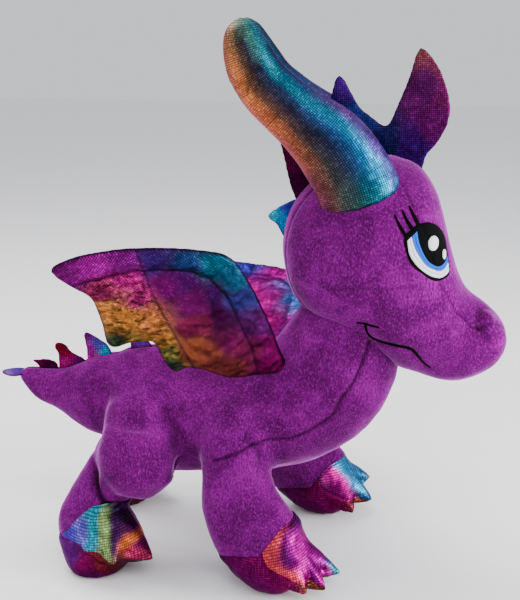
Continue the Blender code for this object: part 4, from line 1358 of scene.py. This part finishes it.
# Along the horn from its base, the colours across it from back to front
HORN_ACROSS = (-0.95, -0.62, -0.32, 0.02, 0.36, 0.68, 0.95)
HORN_BANDS = {
    0: [(125, 65, 90), (105, 75, 80), (75, 90, 85), (50, 100, 100),
        (40, 125, 135), (40, 145, 170), (60, 130, 190)],
    25: [(155, 85, 90), (120, 80, 75), (70, 70, 70), (55, 62, 85),
         (45, 85, 135), (50, 145, 200), (140, 100, 210)],
    50: [(190, 105, 85), (145, 90, 72), (75, 65, 65), (52, 55, 80),
         (42, 72, 120), (50, 145, 190), (150, 100, 200)],
    80: [(225, 125, 90), (200, 110, 75), (100, 72, 65), (55, 50, 70),
         (45, 60, 92), (45, 140, 170), (60, 90, 150)],
    110: [(235, 140, 100), (225, 130, 80), (120, 85, 65), (62, 55, 62),
          (48, 58, 85), (50, 155, 175), (45, 65, 105)],
    130: [(210, 135, 100), (165, 115, 80), (85, 72, 65), (50, 50, 65),
          (75, 130, 122), (60, 160, 178), (55, 75, 112)],
    146: [(115, 95, 95), (105, 112, 95), (102, 130, 105), (98, 140, 115),
          (92, 150, 132), (65, 160, 170), (55, 85, 122)],
}
HORN_RADII = [(0, 25), (16, 26), (42, 24.5), (64, 21), (82, 18.5), (101, 17.5), (117, 16.5),
              (130, 13.5), (140, 9), (147, 5)]
HORN_DENT = [(-74, 341), (-66, 348), (-54, 350)]
HORN_WRAP = 90 * WEAVE_PITCH
HORN_CRUSH = 0.03


def across_band(across, colours):
    """The colour at each point of one band."""
    parts = zip(*[srgb(*colour) for colour in colours])
    return np.stack([np.interp(across, HORN_ACROSS, part) for part in parts], axis=1)


def banded(obj, along, across, seed):
    """Paint a horn with its bands of colours, blended both along it and across it."""
    along = along + 3 * cloud(coords(obj), 20.0, seed)
    across = across + 0.08 * cloud(coords(obj), 16.0, seed + 3)
    rows = np.stack([across_band(across, colours) for colours in HORN_BANDS.values()])
    places = np.array(list(HORN_BANDS), float)
    step = np.clip(np.searchsorted(places, along) - 1, 0, len(places) - 2)
    share = np.clip((along - places[step]) / (places[step + 1] - places[step]), 0, 1)[:, None]
    each = np.arange(len(along))
    shades = rows[step, each] * (1 - share) + rows[step + 1, each] * share
    store_tint(obj, FOIL_DEPTH * shades, HORN_CRUSH)


def make_horns():
    """The two fat foil horns, with a seam along the middle of each."""
    for side in (RIGHT, LEFT):
        rows = [(x, z - NECK[2], high, wide, side * HORN_SIDE) for x, z, high, wide in HORN]
        first = rows[0]
        rows.insert(0, (first[0] + 4, first[1] - 9, 0, 0, first[4]))
        obj = remesh(make_object("horn", [loft(rows, grow=0.3, sides=32)]), FOIL_VOXEL, 3)
        seam = np.abs(coords(obj)[:, 1] - side * HORN_SIDE) < 1.2
        obj = divided(inflate(obj, 3.0, 1.2, seam))
        points, out = coords(obj), normals(obj)
        dent = 0.8 * bell(to_path(points[:, [0, 2]], on_neck(HORN_DENT)), 2.4)
        dent += 0.7 * bell(points[:, 1] - side * HORN_SIDE, 1.2)
        lumps = cloud(points, 18.0, side * 3.0) * 0.6
        lumps += cloud(points * np.array([1, 1, 0.5]), 6.0, 6.0) * 0.12
        points += out * (lumps - dent)[:, None]
        set_coords(obj, points)
        along, across, angle = horn_place(points, side)
        radius = np.interp(along, *zip(*HORN_RADII))
        banded(obj, along, across / radius, 8.0 + side)
        weave_map(obj, np.stack([angle * HORN_WRAP / (2 * math.pi), along], axis=1), HORN_WRAP)
        obj.data.transform(HEAD_FRAME)
        prefix = SIDE_NAMES[side] + "_horn"
        dress(obj, prefix + "_foil", FOIL, "head", (prefix + "_cover", prefix + "_stuffing"))


def horn_place(points, side):
    """Each point's distance along a horn, its distance forward of the middle, and its angle around."""
    path = np.array([(x, z - NECK[2]) for x, z, _, _ in HORN], float)
    flat = points[:, [0, 2]]
    best = np.full(len(points), 1e9)
    along, offset = np.zeros(len(points)), np.zeros(len(points))
    run = 0.0
    for a, b in zip(path, path[1:]):
        step = b - a
        length = np.linalg.norm(step)
        t = np.clip((flat - a) @ step / length ** 2, 0, 1)
        gap = flat - a - t[:, None] * step
        distance = np.linalg.norm(gap, axis=1)
        nearer = distance < best
        best = np.where(nearer, distance, best)
        along = np.where(nearer, run + t * length, along)
        sign = np.sign(step[0] * gap[:, 1] - step[1] * gap[:, 0])
        offset = np.where(nearer, distance * sign, offset)
        run += length
    return along, -offset, np.arctan2(points[:, 1] - side * HORN_SIDE, offset)


# Colours of the flat pieces by x and z, and of the fin by x and y
CREST_COLOURS = [((58, 350), (115, 50, 75)), ((44, 362), (125, 65, 75)), ((62, 332), (110, 35, 90)),
                 ((48, 338), (95, 30, 95)), ((54, 315), (100, 25, 95)), ((40, 296), (55, 10, 95)),
                 ((52, 285), (60, 8, 110)), ((22, 302), (35, 35, 80)), ((4, 320), (45, 55, 120)),
                 ((-8, 342), (85, 35, 140)), ((-14, 318), (60, 30, 110)), ((-4, 296), (70, 20, 90)),
                 ((-40, 304), (95, 12, 65)), ((-44, 290), (85, 10, 60)), ((-36, 272), (70, 12, 60))]
NAPE_COLOURS = [((-55, 252), (50, 190, 220)), ((-44, 248), (50, 140, 210)), ((-40, 258), (60, 60, 170))]
SPINE_COLOURS = {
    "back_spine_1": [((-70, 168), (40, 150, 200)), ((-64, 158), (70, 110, 200)),
                     ((-60, 147), (170, 30, 130)), ((-74, 150), (120, 40, 150))],
    "back_spine_2": [((-94, 165), (60, 170, 210)), ((-86, 155), (110, 60, 190)),
                     ((-82, 146), (180, 30, 140)), ((-94, 148), (120, 30, 140))],
    "tail_spine_1": [((-130, 156), (100, 20, 100)), ((-128, 146), (150, 30, 140)),
                     ((-120, 150), (90, 80, 190)), ((-115, 145), (50, 170, 225)),
                     ((-127, 138), (210, 40, 160))],
    "tail_spine_2": [((-152, 148), (115, 20, 40)), ((-145, 141), (125, 15, 60)),
                     ((-146, 134), (150, 25, 110)), ((-135, 138), (90, 15, 90))],
    "tail_spine_3": [((-172, 134), (90, 15, 60)), ((-160, 133), (65, 8, 50)), ((-154, 130), (80, 10, 60))],
}
FIN_COLOURS = [((-198, 0), (150, 110, 200)), ((-184, 6), (90, 80, 200)), ((-178, 0), (120, 40, 150))]


def make_plates():
    """The crest, the nape spike, the spines and the tail fin."""
    plates = [("head_crest", HEAD_CREST, CREST_COLOURS, "head"),
              ("nape_spike", NAPE_SPIKE, NAPE_COLOURS, "head")]
    plates += [(name, outline, SPINE_COLOURS[name], "tail" if name.startswith("tail") else "torso")
               for name, outline in SPINES.items()]
    plates.append(("tail_fin", TAIL_FIN, FIN_COLOURS, "tail"))
    for k, (name, outline, colours, body) in enumerate(plates):
        obj, edge, _ = plate_form(name, outline, PLATE_THICK, 0.9, 4.0, PLATE_VOXEL, 6, 0.35, k)
        flat = coords(obj)[:, [0, 2]]
        painted(obj, colours, flat, 3.0, 4.0 + k)
        dark_edges(obj, 0.6 * bell(edge, 1.0))
        weave_map(obj, flat)
        if body == "head":
            obj.data.transform(HEAD_FRAME @ Matrix.Translation((0, 0, -NECK[2] * MM)))
        elif name == "tail_fin":
            lying = Matrix.Rotation(math.radians(-90), 4, "X")
            obj.data.transform(Matrix.Translation((0, 0, FIN_HEIGHT * MM)) @ lying)
            to_shared_frame(obj)
        else:
            to_shared_frame(obj)
        dress(obj, name + "_foil", FOIL, body, (name,))


make_head()
make_horns()
make_plates()


# ---------------------------------------------------------------- stage

# Metres from the middle of the shared frame: name, place, size, power
LAMPS = (("key", (0.35, -0.9, 1.0), 0.7, 7.0), ("top", (-0.5, 0.2, 1.2), 0.8, 17.0),
         ("left", (-0.9, -0.8, 0.5), 0.8, 4.0), ("right", (1.1, -0.1, 0.35), 0.5, 19.0))
LAMP_TARGET = Vector((0, 0, 0.18))
CAMERA_PLACE = Vector((0.1506, -0.7086, 0.3841)) + Vector(SHIFT * MM)
CAMERA_TARGET = Vector((0, 0, 0.19)) + Vector(SHIFT * MM)
CAMERA_LENS = 64.3
WORLD_COLOUR = (0.95, 0.96, 1.0, 1)
WORLD_STRENGTH = 0.9
FLOOR_COLOUR = (0.93, 0.93, 0.94, 1)


def aimed(name, data, place, target):
    """A lamp or camera at a place, looking at a target."""
    obj = bpy.data.objects.new(name, data)
    obj.location = place
    obj.rotation_euler = (target - place).to_track_quat("-Z", "Y").to_euler()
    bpy.context.scene.collection.objects.link(obj)
    return obj


def stage():
    """A pale floor, soft lamps and the camera."""
    scene = bpy.context.scene
    bpy.ops.mesh.primitive_plane_add(size=8, location=(0, 0, 0))
    floor = bpy.context.object
    floor.name = "floor"
    material, _, shader = nodes_of("pale_floor")
    shader.inputs["Base Color"].default_value = FLOOR_COLOUR
    shader.inputs["Roughness"].default_value = 0.8
    floor.data.materials.append(material)
    world = bpy.data.worlds.new("studio")
    world.use_nodes = True
    background = world.node_tree.nodes["Background"]
    background.inputs["Color"].default_value = WORLD_COLOUR
    background.inputs["Strength"].default_value = WORLD_STRENGTH
    scene.world = world
    for name, place, size, power in LAMPS:
        light = bpy.data.lights.new(name, "AREA")
        light.size = size
        light.energy = power
        aimed(name, light, Vector(place), LAMP_TARGET)
    camera = bpy.data.cameras.new("camera")
    camera.lens = CAMERA_LENS
    camera.sensor_width = 36
    scene.camera = aimed("camera", camera, CAMERA_PLACE, CAMERA_TARGET)


stage()
